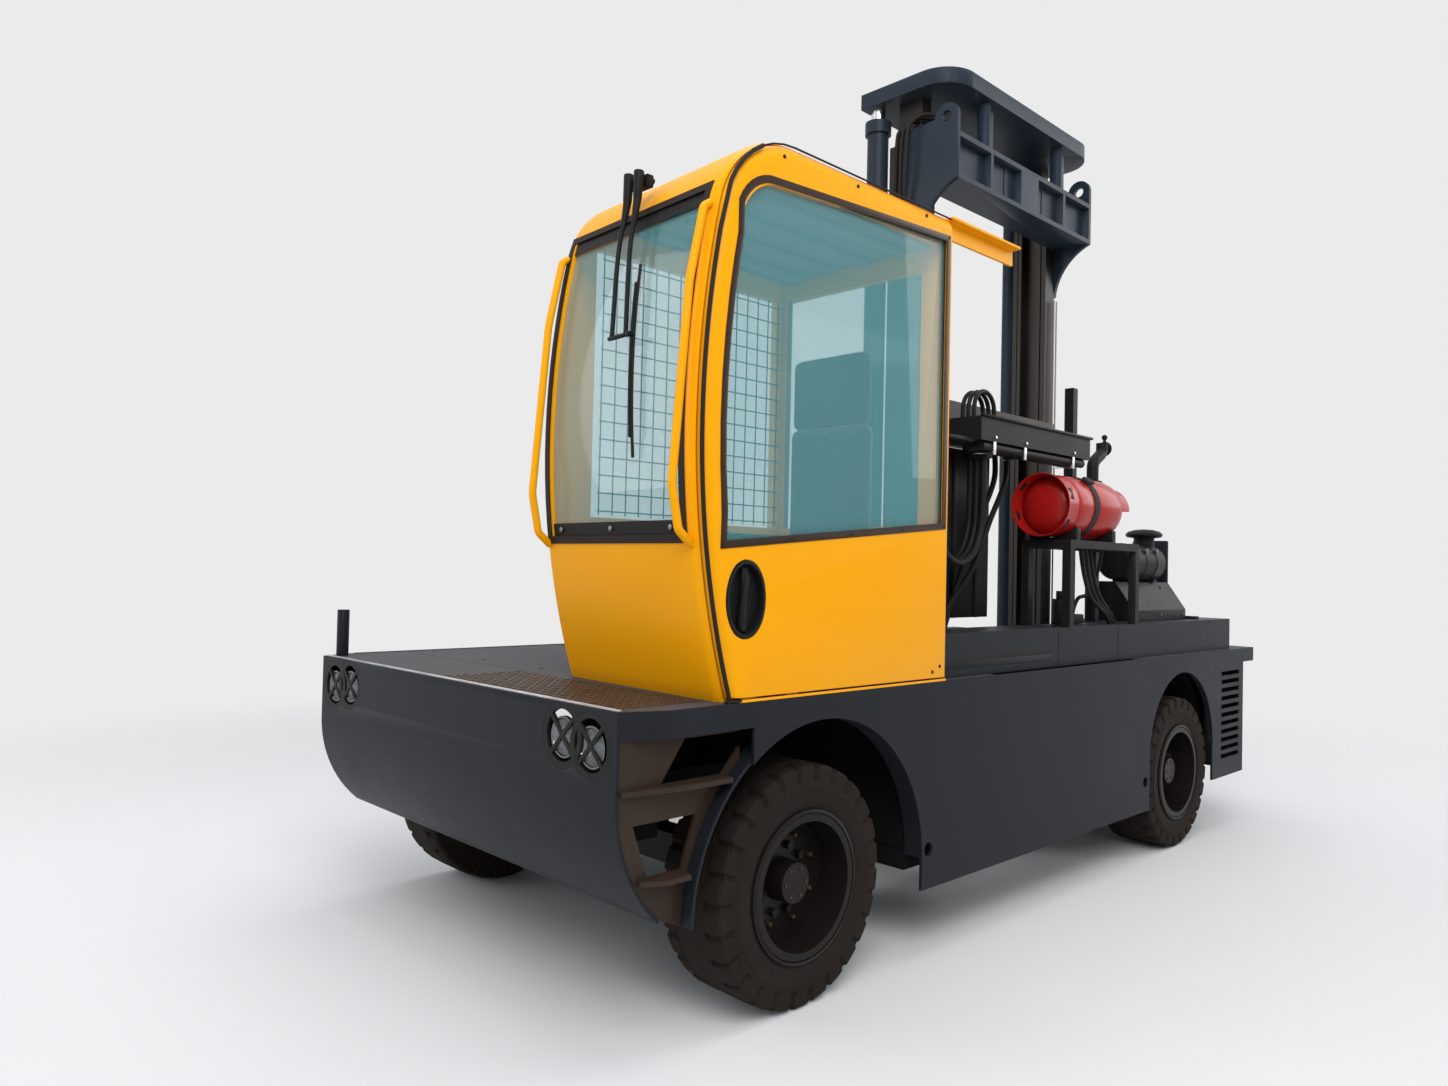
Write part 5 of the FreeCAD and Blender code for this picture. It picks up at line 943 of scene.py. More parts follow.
        shop.piece("rear_lining", sill, BLACK_PLASTIC)

    def build(self, shop: Workshop) -> None:
        """Make everything on and in the cab.

        Args:
            shop: Makes, dresses and registers the pieces.
        """
        self.seals(shop)
        self.screen(shop)
        self.wiper(shop)
        self.grip(shop)
        self.inside(shop)


def puff(pad: bpy.types.Object, limit: float) -> None:
    """Swell a pad a little by a short cloth simulation, with its rise held to a limit.

    Args:
        pad: The pad, a closed mesh.
        limit: How far a point may move.
    """
    remesh = pad.modifiers.new("even", "REMESH")
    remesh.mode = "VOXEL"
    remesh.voxel_size = 0.006
    dressed = bpy.context.evaluated_depsgraph_get()
    data = bpy.data.meshes.new_from_object(pad.evaluated_get(dressed))
    pad.modifiers.clear()
    pad.data = data
    data.polygons.foreach_set("use_smooth", [True] * len(data.polygons))
    before = [vert.co.copy() for vert in data.vertices]
    cloth = pad.modifiers.new("swell", "CLOTH")
    cloth.settings.use_pressure = True
    cloth.settings.uniform_pressure_force = 4.0
    cloth.settings.effector_weights.gravity = 0.0
    scene = bpy.context.scene
    for step in range(1, 21):
        scene.frame_set(step)
    after = bpy.data.meshes.new_from_object(
        pad.evaluated_get(bpy.context.evaluated_depsgraph_get()))
    pad.modifiers.clear()
    for vert, start, end in zip(data.vertices, before, after.vertices):
        move = end.co - start
        vert.co = start + (move.normalized() * limit if move.length > limit else move)
    bpy.data.meshes.remove(after)
    scene.frame_set(1)
    pad.modifiers.new("fine", "SUBSURF")


@dataclass(frozen=True)
class Wheel:
    """A solid tyre with lugs on both shoulders, and the details of its rim."""

    name: str
    x: float
    side: int
    radius: float = 0.420
    seat: float = 0.251
    wide: float = 0.300
    outer: float = 1.100
    lugs: int = 26
    per_lug: int = 9

    def build(self, shop: Workshop) -> None:
        """Make the tyre, the bolts of rim and hub, and the rim's lip.

        Args:
            shop: Makes, dresses and registers the pieces.
        """
        body = shop.body_of(f"tyre_{self.name}")
        face = self.outer * self.side
        inward = -self.side
        section = [(0.014, self.seat), (0.010, 0.268), (0.0035, 0.284), (0.0, 0.296),
                   (0.002, 0.330), (0.000, 0.338), (0.003, 0.343), (0.003, 0.352),
                   (0.006, 0.362), (0.006, 0.404), (0.014, 0.4145), (0.030, 0.4190)]
        groove = [(0.078, 0.4200), (0.080, 0.4185), (0.090, 0.4185), (0.092, 0.4200)]
        half = section + groove
        other = [(self.wide - along, radius) for along, radius in reversed(half)]
        profile = half + other
        stock = Stock()
        stock.lathe(profile, (0, 0, 0), Axis.Z, self.lugs * self.per_lug)
        step = math.tau / (self.lugs * self.per_lug)
        for vert in stock.mesh.verts:
            radius = math.hypot(vert.co.x, vert.co.y)
            if radius < 0.357:
                continue
            place = round(math.atan2(vert.co.y, vert.co.x) / step)
            along = min(vert.co.z, self.wide - vert.co.z)
            if vert.co.z > self.wide / 2:
                place += self.per_lug // 2
            if place % self.per_lug > 1 or along > 0.079:
                continue
            depth = 0.013 if radius > 0.405 else 0.0
            drop = (radius - depth) / radius
            vert.co.x *= drop
            vert.co.y *= drop
            if radius < 0.417:
                vert.co.z += 0.009 if vert.co.z < self.wide / 2 else -0.009
        turn = Matrix.Rotation(math.radians(-90 if inward > 0 else 90), 4, "X")
        bmesh.ops.transform(
            stock.mesh, verts=stock.mesh.verts,
            matrix=Matrix.Translation((self.x, face, self.radius)) @ turn)
        shop.piece(f"tyre_{self.name}_tread", stock, TYRE_RUBBER, body,
                   (f"tyre_{self.name}",), smooth=28.0)
        bolts = Stock()
        for count, shift, apart, depth, height, thick, sides in (
                (8, 0.5, 0.158, 0.139, 0.030, 0.008, 12),
                (6, 0.0, 0.052, 0.052, 0.004, 0.0055, 10)):
            base = face + inward * depth
            for index in range(count):
                angle = math.tau * (index + shift) / count
                x, z = self.x + apart * math.cos(angle), self.radius + apart * math.sin(angle)
                bolts.rod((x, base, z), (x, base - inward * height, z), thick, 0.001, sides)
        shop.piece(f"rim_{self.name}_bolts", bolts, RUSTY_STEEL, body)
        bead = [(0.0, 0.2535), (0.004, 0.2650), (0.012, 0.2660), (0.016, 0.2620),
                (0.010, 0.2540), (0.0, 0.2535)]
        ring = Stock().lathe(bead, (0, 0, 0), Axis.Z, 72)
        bmesh.ops.transform(ring.mesh, verts=ring.mesh.verts,
                            matrix=Matrix.Translation((self.x, face - inward * 0.003,
                                                       self.radius)) @ turn)
        shop.piece(f"rim_{self.name}_lip", ring, RIM_BLACK, body)


@dataclass(frozen=True)
class BodyTrim:
    """Lamps, covers, deck plate, liners and the dark plates of painted shade behind the openings."""

    lamps: tuple = ((0.780, 0.975), (0.930, 0.963), (-0.780, 0.975), (-0.930, 0.963))
    arch_z: float = 0.560
    arch_r: float = 0.470
    liner_y: float = 0.715

    def lamp_faces(self, shop: Workshop) -> None:
        """Bowls, glasses and bulbs behind the lamp guards.

        Args:
            shop: Makes, dresses and registers the pieces.
        """
        bowls, glass, bulbs = Stock(), Stock(), Stock()
        for y, z in self.lamps:
            bowls.lathe([(0.0, 0.066), (0.012, 0.066), (0.012, 0.060), (-0.030, 0.030),
                         (-0.034, 0.0)], (2.540, y, z), Axis.X, 40)
            glass.lathe([(0.004, 0.060), (0.008, 0.058), (0.013, 0.030), (0.0145, 0.0)],
                        (2.540, y, z), Axis.X, 40)
            bulbs.rod((2.515, y, z), (2.548, y, z), 0.012, 0.003, 16)
        shop.piece("lamp_bowls", bowls, LAMP_BOWL, replaces=("headlamps",))
        shop.piece("lamp_glasses", glass, LAMP_GLASS)
        shop.piece("lamp_bulbs", bulbs, CHROME)
        tail = Stock()
        for y in (0.98, -0.98):
            tail.box((-2.392, y - 0.055, 0.800), (-2.380, y + 0.055, 0.900), 0.004)
        shop.piece("tail_lamps", tail, TAIL_RED)

    def covers(self, shop: Workshop) -> None:
        """Joints, door track and handle of the side covers.

        Args:
            shop: Makes, dresses and registers the pieces.
        """
        lines = Stock()
        lines.box((-0.0670, 1.0765, 1.090), (-0.0635, 1.0790, 1.266), 0.0)
        lines.box((0.010, 1.0765, 1.152), (0.905, 1.0795, 1.161), 0.0)
        lines.box((-0.0670, 0.880, 1.2690), (-0.0635, 1.076, 1.2712), 0.0)
        shop.piece("cover_lines", lines, SEAL_RUBBER)
        track = Stock().box((0.010, 1.074, 1.120), (0.905, 1.0805, 1.150), 0.003)
        shop.piece("door_track", track, CHASSIS_GREY)
        slot = Stock().box((-2.03, 0.75, 1.2880), (-1.93, 0.79, 1.2905), 0.001)
        shop.piece("hatch_slot", slot, SEAL_RUBBER, "hatch")

    def backing(self, shop: Workshop) -> None:
        """Liners of the rear arches, and dark plates behind louvres and foot openings that paint the
        shade inside them.

        Args:
            shop: Makes, dresses and registers the pieces.
        """
        # Dark plates behind the louvres: painted shade for the shadow behind the grille.
        back = Stock()
        back.box((-2.335, 1.030, 0.400), (-1.980, 1.036, 1.010), 0.0)
        back.box((-2.335, -1.036, 0.400), (-1.980, -1.030, 1.010), 0.0)
        back.box((-2.352, -0.95, 0.410), (-2.346, 0.98, 0.970), 0.0)
        shop.piece("louvre_shade_backing", back, LINER_AND_SHADE_BLACK)
        for tag, sign in (("near", 1), ("far", -1)):
            y = self.liner_y * sign
            ring = [(REAR_AXLE_X + self.arch_r * math.cos(turn), y,
                     self.arch_z + self.arch_r * math.sin(turn))
                    for turn in (math.pi * index / 20 for index in range(21))]
            inner = [(x * 0.985 + REAR_AXLE_X * 0.015, y,
                      self.arch_z + (z - self.arch_z) * 0.985) for x, _, z in reversed(ring)]
            liner = Stock().slab(ring + inner, (0, 0.32 * sign, 0))
            liner.slab(ring, (0, -0.006 * sign, 0))
            shop.piece(f"rear_liner_{tag}", liner, LINER_AND_SHADE_BLACK)
        # Dark plates behind the foot openings and wheels: painted shade for the shadow inside the
        # openings.
        plates = Stock()
        plates.box((1.075, -1.03, 0.420), (1.081, 1.03, 1.060), 0.0)
        plates.box((0.700, 0.655, 0.330), (1.075, 1.030, 1.050), 0.010)
        plates.box((-0.930, 0.905, 0.330), (0.560, 1.030, 1.060), 0.0)
        plates.box((2.260, 0.900, 0.640), (2.430, 0.906, 1.060), 0.0)
        shop.piece("inner_shade_plates", plates, LINER_AND_SHADE_BLACK)

    def deck(self, shop: Workshop) -> None:
        """Worn checker plate in front of the cab, deck joint and edge strips.

        Args:
            shop: Makes, dresses and registers the pieces.
        """
        plate = Stock().box((2.175, -0.060, DECK_TOP), (2.525, 1.020, 1.0865), 0.0)
        shop.piece("step_plate", plate, WORN_PLATE)
        tears = Stock()
        for row in range(26):
            for column in range(9):
                x = 2.200 + 0.038 * column
                y = -0.035 + 0.041 * row
                lean = 45 if (row + column) % 2 else -45
                tears.box((x - 0.014, y - 0.004, 1.0862), (x + 0.014, y + 0.004, 1.0885), 0.0,
                          Matrix.Rotation(math.radians(lean), 4, "Z"))
        shop.piece("step_plate_tears", tears, WORN_PLATE)
        worn = Stock().box((2.5350, -1.050, DECK_TOP), (2.5480, 1.050, 1.0875), 0.001)
        worn.box((2.5350, -1.050, 1.0870), (2.5400, 1.050, 1.0900), 0.001)
        shop.piece("deck_worn_edge", worn, WORN_EDGE)
        strips = Stock().box((0.545, -1.105, DECK_TOP), (2.40, -1.090, 1.0880), 0.001)
        strips.box((2.150, -1.080, 1.0852), (2.154, 0.170, 1.0858), 0.0)
        shop.piece("deck_strips", strips, DECK_GREY)
        bolts = Stock()
        for rows, columns in (((-1.0, -0.55, -0.10), (0.62, 1.30, 2.05)),
                              ((-1.0, -0.4, 0.2), (-2.45, -1.70, -1.00))):
            for y in rows:
                for x in columns:
                    bolts.rod((x, y, DECK_TOP), (x, y, 1.0872), 0.011, 0.001, 14)
        shop.piece("deck_bolts", bolts, DECK_GREY)

    def build(self, shop: Workshop) -> None:
        """Make everything on the body.

        Args:
            shop: Makes, dresses and registers the pieces.
        """
        self.lamp_faces(shop)
        self.covers(shop)
        self.backing(shop)
        self.deck(shop)


@dataclass(frozen=True)
class GasTrim:
    """The gas bottle with its rings, strap, valve and hoses."""

    y: float = 0.965
    z: float = 1.860

    def build(self, shop: Workshop) -> None:
        """Make the bottle and what holds and feeds it.

        Args:
            shop: Makes, dresses and registers the pieces.
        """
        centre = (0.0, self.y, self.z)
        wall = [(-0.700, 0.0), (-0.700, 0.045), (-0.688, 0.090), (-0.660, 0.128),
                (-0.620, 0.1475), (-0.575, 0.1535), (-0.350, 0.1535), (-0.345, 0.1515),
                (-0.335, 0.1515), (-0.330, 0.1535), (-0.190, 0.1535), (-0.150, 0.1475),
                (-0.118, 0.128), (-0.095, 0.090), (-0.085, 0.045), (-0.084, 0.0)]
        bottle = Stock().lathe([(along - 0.030, radius) for along, radius in wall], centre,
                               Axis.X, 64)
        foot = [(-0.185, 0.1480), (-0.092, 0.1520), (-0.078, 0.1545), (-0.078, 0.1500),
                (-0.092, 0.1470), (-0.185, 0.1430), (-0.185, 0.1480)]
        bottle.lathe(foot, centre, Axis.X, 64)
        bottle.rod((-0.1225, self.y, self.z), (-0.1120, self.y, self.z), 0.012, 0.002, 16)
        shop.piece("gas_bottle_form", bottle, GAS_RED, replaces=("gas_bottle",))
        collar = Stock().lathe([(-0.787, 0.118), (-0.715, 0.112), (-0.712, 0.116),
                                (-0.775, 0.124), (-0.787, 0.124), (-0.787, 0.118)], centre,
                               Axis.X, 48)
        bmesh.ops.bisect_plane(
            collar.mesh, geom=collar.mesh.verts[:] + collar.mesh.edges[:] + collar.mesh.faces[:],
            plane_co=(0.0, self.y + 0.02, self.z - 0.035), plane_no=(0, 0.35, -1),
            clear_outer=True)
        bmesh.ops.holes_fill(collar.mesh, edges=[edge for edge in collar.mesh.edges
                                                 if edge.is_boundary], sides=0)
        shop.piece("gas_collar", collar, GAS_RED)
        holes = Stock()
        for index in range(6):
            turn = math.radians(20 + 60 * index)
            y = self.y + 0.1475 * math.cos(turn)
            z = self.z + 0.1475 * math.sin(turn)
            holes.box((-0.130, y - 0.003, z - 0.028), (-0.100, y + 0.0035, z + 0.028), 0.001,
                      Matrix.Rotation(turn, 4, "X"))
        shop.piece("gas_foot_slots", holes, SEAL_RUBBER)
        strap = [(-0.385, 0.1535), (-0.385, 0.1580), (-0.340, 0.1580), (-0.340, 0.1535),
                 (-0.385, 0.1535)]
        band = Stock().lathe(strap, centre, Axis.X, 64)
        band.box((-0.392, 1.045, 1.983), (-0.333, 1.090, 2.000), 0.003,
                 Matrix.Rotation(math.radians(-38), 4, "X"))
        shop.piece("gas_strap", band, STRAP_WEB)
        valve = Stock().rod((-0.720, self.y, self.z), (-0.775, self.y, self.z), 0.022, 0.002)
        valve.rod((-0.752, self.y, self.z), (-0.752, self.y, self.z - 0.060), 0.014, 0.002)
        valve.rod((-0.752, self.y, self.z), (-0.752, self.y, self.z + 0.050), 0.020, 0.004)
        valve.rod((-0.752, self.y, self.z - 0.080), (-0.752, self.y, self.z - 0.055), 0.018, 0.003)
        shop.piece("gas_valve", valve, BRASS)
        shop.hose("gas_hose", [(-0.752, self.y, self.z - 0.080), (-0.750, 0.962, 1.690),
                               (-0.735, 0.950, 1.560), (-0.660, 0.935, 1.430),
                               (-0.560, 0.925, 1.400), (-0.505, 0.925, 1.330),
                               (-0.500, 0.925, 1.272)], 0.010)
        for index, (x, span) in enumerate(((-0.62, 0.22), (-0.57, 0.25), (-0.52, 0.28))):
            shop.hose(f"fuel_hose_{index}", [
                (x, 0.955, 1.700), (x, 0.960, 1.620), (x - 0.015, 0.975, 1.500),
                (x - 0.060, 0.990, 1.400), (x - span * 0.62, 1.005, 1.325),
                (x - span * 0.80, 1.010, 1.272)], 0.011)
        block = Stock().box((-0.665, 0.925, 1.690), (-0.475, 0.985, 1.745), 0.006)
        block.box((-0.560, 0.900, 1.272), (-0.440, 0.960, 1.320), 0.006)
        block.rod((-0.315, 0.955, 1.272), (-0.315, 0.955, 1.400), 0.045, 0.006)
        block.rod((-0.315, 0.955, 1.400), (-0.315, 0.955, 1.440), 0.022, 0.004)
        shop.piece("gas_fittings", block, DARK_METAL)


@dataclass(frozen=True)
class AirTrim:
    """The air cleaner with feet, clips and shield, and the exhaust's fittings."""

    y: float = 0.812
    z: float = 1.602

    def build(self, shop: Workshop) -> None:
        """Make the air cleaner, the bolts of its box and the exhaust's fittings.

        Args:
            shop: Makes, dresses and registers the pieces.
        """
        drum = [(-1.690, 0.0), (-1.690, 0.085), (-1.680, 0.104), (-1.570, 0.108),
                (-1.566, 0.111), (-1.550, 0.111), (-1.546, 0.108), (-1.430, 0.108),
                (-1.426, 0.111), (-1.410, 0.111), (-1.406, 0.108), (-1.320, 0.108),
                (-1.316, 0.1112), (-1.290, 0.1112), (-1.286, 0.106), (-1.220, 0.102),
                (-1.208, 0.094), (-1.208, 0.072), (-1.214, 0.070), (-1.214, 0.0)]
        body = Stock().lathe(drum, (0.0, self.y, self.z), Axis.X, 56)
        body.lathe([(1.690, 0.058), (1.752, 0.058), (1.757, 0.094), (1.765, 0.103),
                    (1.775, 0.104), (1.790, 0.090), (1.801, 0.055), (1.806, 0.0)],
                   (-1.610, self.y, 0.0), Axis.Z, 48)
        shop.piece("air_cleaner", body, BLACK_PLASTIC, replaces=("air_filter",))
        feet = Stock()
        for x in (-1.63, -1.35):
            feet.box((x - 0.02, 0.750, 1.4895), (x + 0.02, 0.875, 1.505), 0.003)
        clips = Stock()
        for x in (-1.558, -1.418, -1.303):
            clips.box((x - 0.010, self.y + 0.085, self.z + 0.055),
                      (x + 0.010, self.y + 0.105, self.z + 0.080), 0.002)
            feet.box((x - 0.006, 0.800, 1.4895), (x + 0.006, 0.824, 1.496), 0.001)
        shop.piece("air_feet", feet, DARK_METAL)
        shop.piece("air_clips", clips, STEEL)
        hood = Stock().box((-1.860, 0.705, 1.480), (-1.835, 0.860, 1.745), 0.010)
        hood.box((-1.860, 0.705, 1.480), (-1.690, 0.722, 1.735), 0.006)
        shop.piece("air_shield", hood, CHASSIS_GREY)
        pins = Stock()
        for x, z in ((-1.17, 1.30), (-1.50, 1.30), (-1.82, 1.30), (-1.30, 1.46), (-1.70, 1.46)):
            y = 0.958 if z < 1.4 else 0.872
            pins.rod((x, y, z), (x, y + 0.012, z), 0.007, 0.001, 12)
        shop.piece("air_box_bolts", pins, STEEL)
        pipe = Stock().rod((-1.096, 0.800, 2.241), (-1.106, 0.800, 2.241), 0.042, 0.003, 28)
        pipe.rod((-1.100, 0.800, 2.262), (-1.100, 0.800, 2.300), 0.009, 0.002, 12)
        pipe.ball((-1.100, 0.800, 2.306), 0.016)
        pipe.rod((-0.985, 0.800, 2.020), (-0.985, 0.800, 2.050), 0.040, 0.004, 28)
        shop.piece("exhaust_flange", pipe, DARK_METAL)


@dataclass(frozen=True)
class MastTrim:
    """Chains, weld frames, worn edges, tray fittings and hoses of the mast."""

    post_y: float = 0.780
    posts: tuple = (0.182, -0.532)

    def chains(self, shop: Workshop) -> None:
        """Leaf chain beside each post, from the crossbeam to the post's head.

        Args:
            shop: Makes, dresses and registers the pieces.
        """
        for tag, x in zip(("front", "rear"), self.posts):
            links = Stock()
            for index in range(8):
                z = 3.575 + 0.025 * index
                for layer in range(4):
                    shift = 0.0125 if layer % 2 else 0.0
                    low_x = x - 0.062 + 0.006 * layer
                    if z + shift < 3.765:
                        links.box((low_x, self.post_y - 0.012, z + shift - 0.012),
                                  (low_x + 0.004, self.post_y + 0.012, z + shift + 0.012),
                                  0.001)
                links.rod((x - 0.065, self.post_y, z), (x - 0.036, self.post_y, z), 0.0045,
                          0.0, 8)
            shop.piece(f"leaf_chain_{tag}", links, OILY_STEEL, "outer_mast")

    def plates(self, shop: Workshop) -> None:
        """Weld frames on the web of the crossbeam.

        Args:
            shop: Makes, dresses and registers the pieces.
        """
        web = Stock()
        for low, high in ((0.005, 0.440), (-0.790, -0.360)):
            outline = [(low, 0.7905, 3.362), (high, 0.7905, 3.362), (high, 0.7905, 3.532),
                       (low, 0.7905, 3.532)]
            web.rim(outline, 0.006, (0, 0.003, 0))
        shop.piece("crossbeam_welds", web, MAST_GREY, "outer_mast")

    def rails(self, shop: Workshop) -> None:
        """Worn running faces on the edges of the channels.

        Args:
            shop: Makes, dresses and registers the pieces.
        """
        worn = Stock()
        for x in (-0.811, -0.783, 0.433, 0.461):
            sign = 1 if x > 0 else -1
            low, high = sorted((x, x - 0.012 * sign))
            worn.box((low, 0.648, 0.340), (high, 0.6512, 3.050), 0.0)
        shop.piece("rail_edges", worn, OILY_STEEL, "outer_mast")

    def tray(self, shop: Workshop) -> None:
        """Clamps, lip, brackets and guard at the tray, and every hose of the mast.

        Args:
            shop: Makes, dresses and registers the pieces.
        """
        clamps = Stock()
        for x in (0.280, 0.002, -0.484):
            clamps.box((x - 0.012, 0.9215, 2.070), (x + 0.012, 0.9290, 2.165), 0.003)
            clamps.box((x - 0.012, 0.812, 2.076), (x + 0.012, 0.925, 2.084), 0.002)
            clamps.rod((x, 0.926, 2.150), (x, 0.937, 2.150), 0.007, 0.001, 12)
        shop.piece("pipe_clamps", clamps, CHROME, "outer_mast")
        lip = Stock().box((-0.660, 0.922, 2.236), (0.400, 0.942, 2.250), 0.005)
        lip.box((-0.675, 0.650, 2.236), (-0.655, 0.942, 2.250), 0.005)
        shop.piece("tray_lip", lip, BLACK_PLASTIC, "outer_mast")
        for index, y in enumerate((0.790, 0.820, 0.850)):
            shop.hose(f"arch_hose_{index}", [
                (0.337, y, 2.150), (0.337, y, 2.220),
                *half_turn((0.337, y, 2.290), (0.163, y, 2.290)),
                (0.163, y, 2.220), (0.163, y, 2.150)], 0.0105, "outer_mast")
        holder = Stock().box((0.395, 0.745, 2.120), (0.660, 0.895, 2.138), 0.004)
        holder.box((0.600, 0.755, 2.060), (0.650, 0.885, 2.125), 0.006)
        holder.box((0.225, 0.755, 2.060), (0.285, 0.885, 2.125), 0.006)
        shop.piece("loop_holder", holder, DARK_METAL, "outer_mast")
        guard = Stock().box((-0.100, 0.664, 1.300), (0.520, 0.672, 2.125), 0.003)
        for x in (0.02, 0.22, 0.42):
            guard.box((x - 0.015, 0.670, 1.300), (x + 0.015, 0.684, 2.110), 0.004)
        shop.piece("hose_guard", guard, DARK_METAL, "outer_mast")
        for index, y in enumerate((0.785, 0.820, 0.855)):
            shop.hose(f"loop_hose_{index}", [
                (0.625, y, 2.070), (0.628, y, 1.980), (0.630, y, 1.850), (0.618, y, 1.720),
                (0.560, y, 1.610), (0.448, y, 1.565), (0.335, y, 1.610), (0.272, y, 1.720),
                (0.257, y, 1.850), (0.255, y, 1.980), (0.255, y, 2.070)], 0.016, "outer_mast")
        for index, (x, y) in enumerate(((0.435, 0.520), (0.450, 0.560), (0.465, 0.600))):
            shop.hose(f"gusset_hose_{index}", [
                (x, y - 0.035, 2.980), (x + 0.035, y - 0.042, 3.200),
                (x + 0.060, y - 0.028, 3.430),
                *half_turn((x + 0.062, y - 0.020, 3.595), (x - 0.052, y + 0.127, 3.595)),
                (x - 0.053, y + 0.127, 3.540)], 0.010, "outer_mast")
        for index, (x, y) in enumerate(((-0.10, 0.700), (-0.16, 0.725))):
            shop.hose(f"drop_hose_{index}", [
                (x, y, 2.140), (x + 0.04, y + 0.02, 1.980), (x + 0.20, y + 0.03, 1.760),
                (x + 0.30, y + 0.02, 1.560), (0.330 + 0.04 * index, 0.715, 1.300),
                (0.400 + 0.02 * index, 0.690, 1.050), (0.447, 0.656, 0.80 - 0.05 * index)],
                0.014, "outer_mast")

    def build(self, shop: Workshop) -> None:
        """Make everything on the mast.

        Args:
            shop: Makes, dresses and registers the pieces.
        """
        self.chains(shop)
        self.plates(shop)
        self.rails(shop)
        self.tray(shop)


SOFT_NODES = {
    "bumper_front": (CHASSIS_GREY, 0.004), "deck_front": (DECK_GREY, 0.003),
    "deck_rear": (DECK_GREY, 0.003), "corner_post": (CHASSIS_GREY, 0.004),
    "side_cover_front": (CHASSIS_GREY, 0.005), "side_cover_rear": (CHASSIS_GREY, 0.005),
    "service_hatch": (CHASSIS_GREY, 0.004), "square_post": (DARK_METAL, 0.004),
    "lamp_guards": (DARK_METAL, 0.002), "cab_shell": (CAB_YELLOW, 0.006),
    "cab_roof": (CAB_YELLOW, 0.006), "door_panel": (CAB_YELLOW, 0.004),
    "door_rail": (CAB_YELLOW, 0.004), "top_plate": (MAST_GREY, 0.008),
    "mast_crossbeam": (MAST_GREY, 0.004), "air_box": (DARK_METAL, 0.004),
    "gas_frame": (DARK_METAL, 0.003), "grab_rails": (CAB_YELLOW, 0.001),
}
PLAIN_NODES = {
    "skirt_near": CHASSIS_GREY, "skirt_far_front": CHASSIS_GREY,
    "skirt_far_rear": CHASSIS_GREY, "entry_steps": STEP_RUST_AND_SUN_REFLECTION,
    "chassis_frame": DARK_METAL, "rear_panel": CHASSIS_GREY, "rear_grille": DARK_METAL,
    "engine_block": ENGINE_IRON, "front_axle": DARK_METAL,
    "rear_axle": DARK_METAL, "windscreen": GLASS_TINT_AND_SKY_REFLECTION, "cab_glass": GLASS_TINT_AND_SKY_REFLECTION,
    "door_glass": GLASS_TINT_AND_SKY_REFLECTION, "door_handle": BLACK_PLASTIC, "seat_base": DARK_METAL,
    "exhaust_pipe": DARK_METAL,
    "knuckle_near": DARK_METAL, "knuckle_far": DARK_METAL, "reach_carriage": DARK_METAL,
    "outer_uprights": MAST_RAIL, "lift_cylinders": MAST_GREY, "hose_tray": BLACK_PLASTIC,
    "mast_pipes": DARK_METAL, "inner_uprights": MAST_RAIL, "lift_rods": CHROME,
    "fork_carriage": MAST_GREY, "forks": DARK_METAL,
    "rim_front_near": RIM_BLACK, "rim_front_far": RIM_BLACK,
    "rim_rear_near": RIM_BLACK, "rim_rear_far": RIM_BLACK,
}


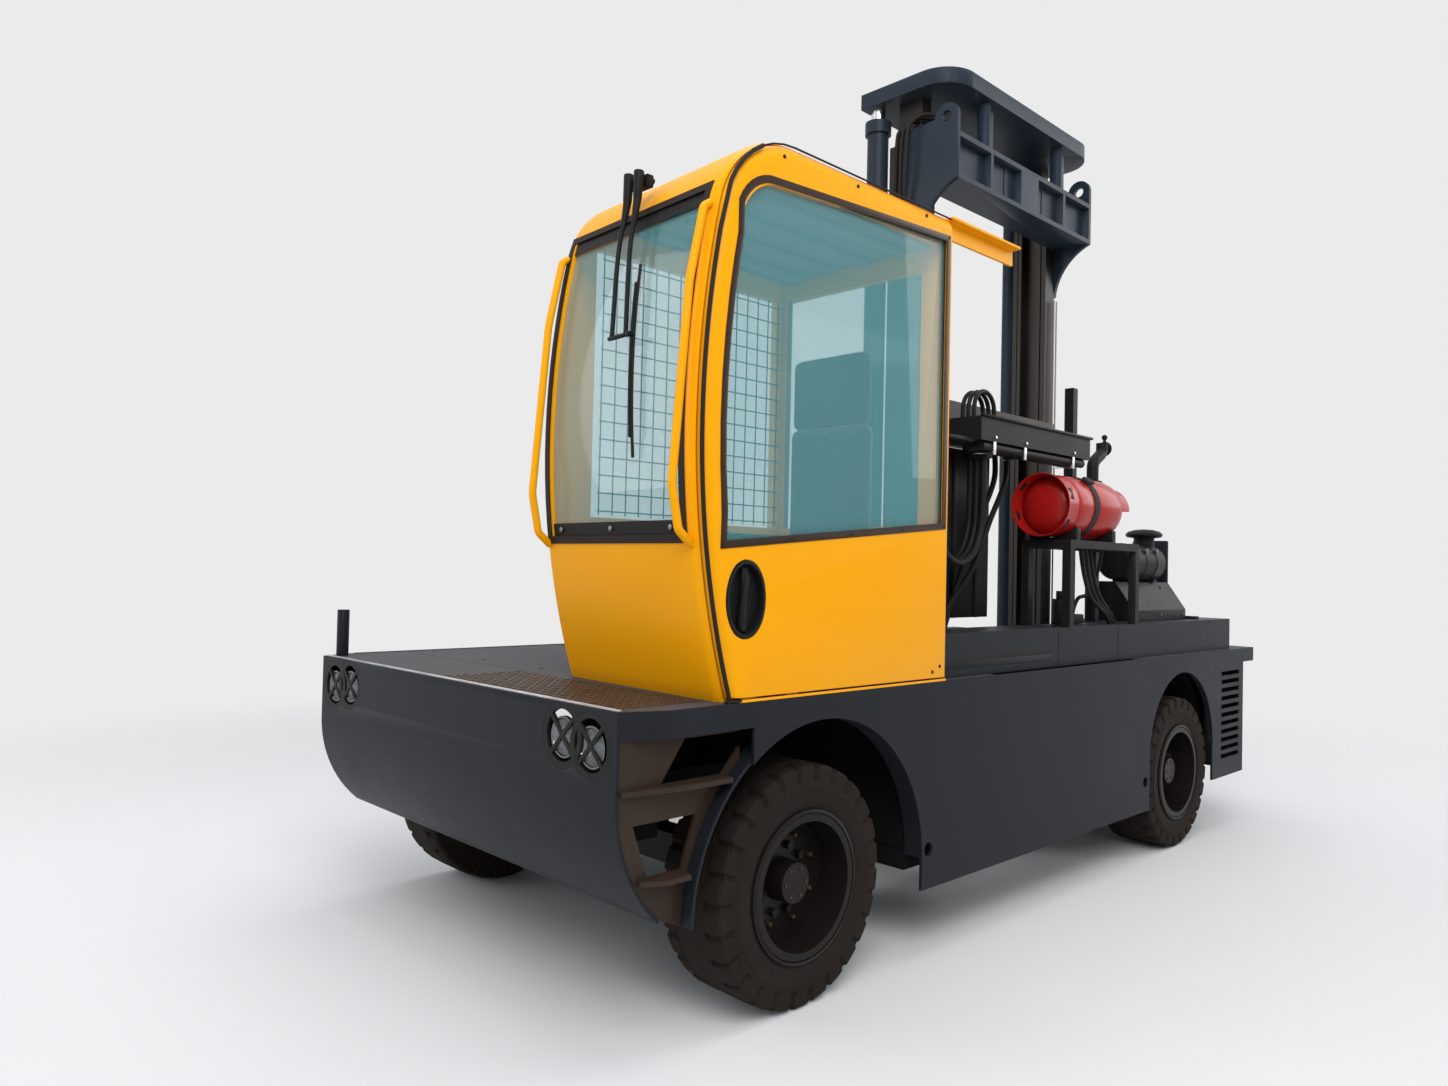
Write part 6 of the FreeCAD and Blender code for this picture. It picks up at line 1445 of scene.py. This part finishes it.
@dataclass(frozen=True)
class Studio:
    """Camera, floor and lamps."""

    eye: Point = (4.4065, 3.4090, 1.5217)
    yaw: float = 226.004
    pitch: float = 1.357
    roll: float = 1.327
    lens: float = 25.01
    floor_size: float = 60.0
    lights: tuple = (("key", (5.0, 5.5, 6.5), 5.0, 420.0), ("fill", (7.0, -4.0, 4.0), 5.0, 160.0),
                     ("back", (-7.0, 4.0, 5.0), 5.0, 180.0), ("top", (0.0, 0.0, 9.0), 7.0, 260.0))

    def camera(self) -> None:
        """Put the camera where the photograph was taken from."""
        yaw, pitch, roll = (math.radians(v) for v in (self.yaw, self.pitch, self.roll))
        look = Vector((math.cos(yaw) * math.cos(pitch), math.sin(yaw) * math.cos(pitch),
                       math.sin(pitch)))
        right = Vector((math.sin(yaw), -math.cos(yaw), 0.0))
        up = right.cross(look)
        right_rolled = right * math.cos(roll) + up * math.sin(roll)
        up_rolled = up * math.cos(roll) - right * math.sin(roll)
        data = bpy.data.cameras.new("view")
        data.lens = self.lens
        data.sensor_width = 36.0
        data.clip_end = 200.0
        camera = bpy.data.objects.new("view", data)
        axes = Matrix((right_rolled, up_rolled, -look)).transposed().to_4x4()
        camera.matrix_world = Matrix.Translation(Vector(self.eye)) @ axes
        bpy.context.scene.collection.objects.link(camera)
        bpy.context.scene.camera = camera

    def floor(self) -> None:
        """A plain pale floor."""
        mesh = bmesh.new()
        bmesh.ops.create_grid(mesh, x_segments=1, y_segments=1, size=self.floor_size / 2)
        data = bpy.data.meshes.new("floor")
        mesh.to_mesh(data)
        mesh.free()
        floor = bpy.data.objects.new("floor", data)
        floor.location.z = -0.001
        bpy.context.scene.collection.objects.link(floor)
        paint(floor, FLOOR_PALE)

    def lamps(self) -> None:
        """Soft lamps from above and both sides."""
        for name, place, size, power in self.lights:
            data = bpy.data.lights.new(name, "AREA")
            data.size = size
            data.energy = power
            lamp = bpy.data.objects.new(name, data)
            lamp.location = place
            lamp.rotation_euler = (Vector(place) - Vector((0, 0, 1))).to_track_quat(
                "Z", "Y").to_euler()
            bpy.context.scene.collection.objects.link(lamp)

    def world(self) -> None:
        """Even pale surroundings."""
        world = bpy.data.worlds.new("studio")
        world.use_nodes = True
        bpy.context.scene.world = world
        tree = world.node_tree
        tree.nodes.clear()
        light = add_node(tree, "ShaderNodeBackground",
                         {"Color": (0.84, 0.88, 0.93, 1), "Strength": 0.48})
        seen = add_node(tree, "ShaderNodeBackground",
                        {"Color": (0.83, 0.83, 0.835, 1), "Strength": 1.0})
        rays = add_node(tree, "ShaderNodeLightPath")
        clear = add_node(tree, "ShaderNodeMath", {0: rays.outputs["Is Camera Ray"],
                                                  1: rays.outputs["Is Transmission Ray"]},
                         operation="MAXIMUM")
        share = add_node(tree, "ShaderNodeMath",
                         {0: clear.outputs[0], 1: rays.outputs["Is Glossy Ray"]},
                         operation="MAXIMUM")
        mix = add_node(tree, "ShaderNodeMixShader",
                       {0: share.outputs[0], 1: light.outputs[0],
                        2: seen.outputs[0]})
        out = add_node(tree, "ShaderNodeOutputWorld")
        tree.links.new(mix.outputs[0], out.inputs["Surface"])

    def build(self) -> None:
        """Set the whole stage and the colour view."""
        self.camera()
        self.floor()
        self.lamps()
        self.world()
        bpy.context.scene.view_settings.view_transform = "Standard"


def main() -> None:
    """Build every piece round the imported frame."""
    logging.basicConfig(level=logging.INFO, format="%(name)s: %(message)s")
    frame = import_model()
    weathering_group()
    for finish in FINISHES:
        finish.build()
    Studio().build()
    shop = Workshop(frame)
    for node, finish in PLAIN_NODES.items():
        paint(frame["nodes"][node], finish)
    for node, (finish, width) in SOFT_NODES.items():
        shop.softened(node, finish, width)
    for name, x in (("front", FRONT_AXLE_X), ("rear", REAR_AXLE_X)):
        for tag, side in (("near", 1), ("far", -1)):
            Wheel(f"{name}_{tag}", x, side).build(shop)
    for assembly in (CabTrim(), BodyTrim(), GasTrim(), AirTrim(), MastTrim()):
        assembly.build(shop)
    LOG.info("%d pieces made", len(shop.made))


if __name__ == "__main__":
    main()
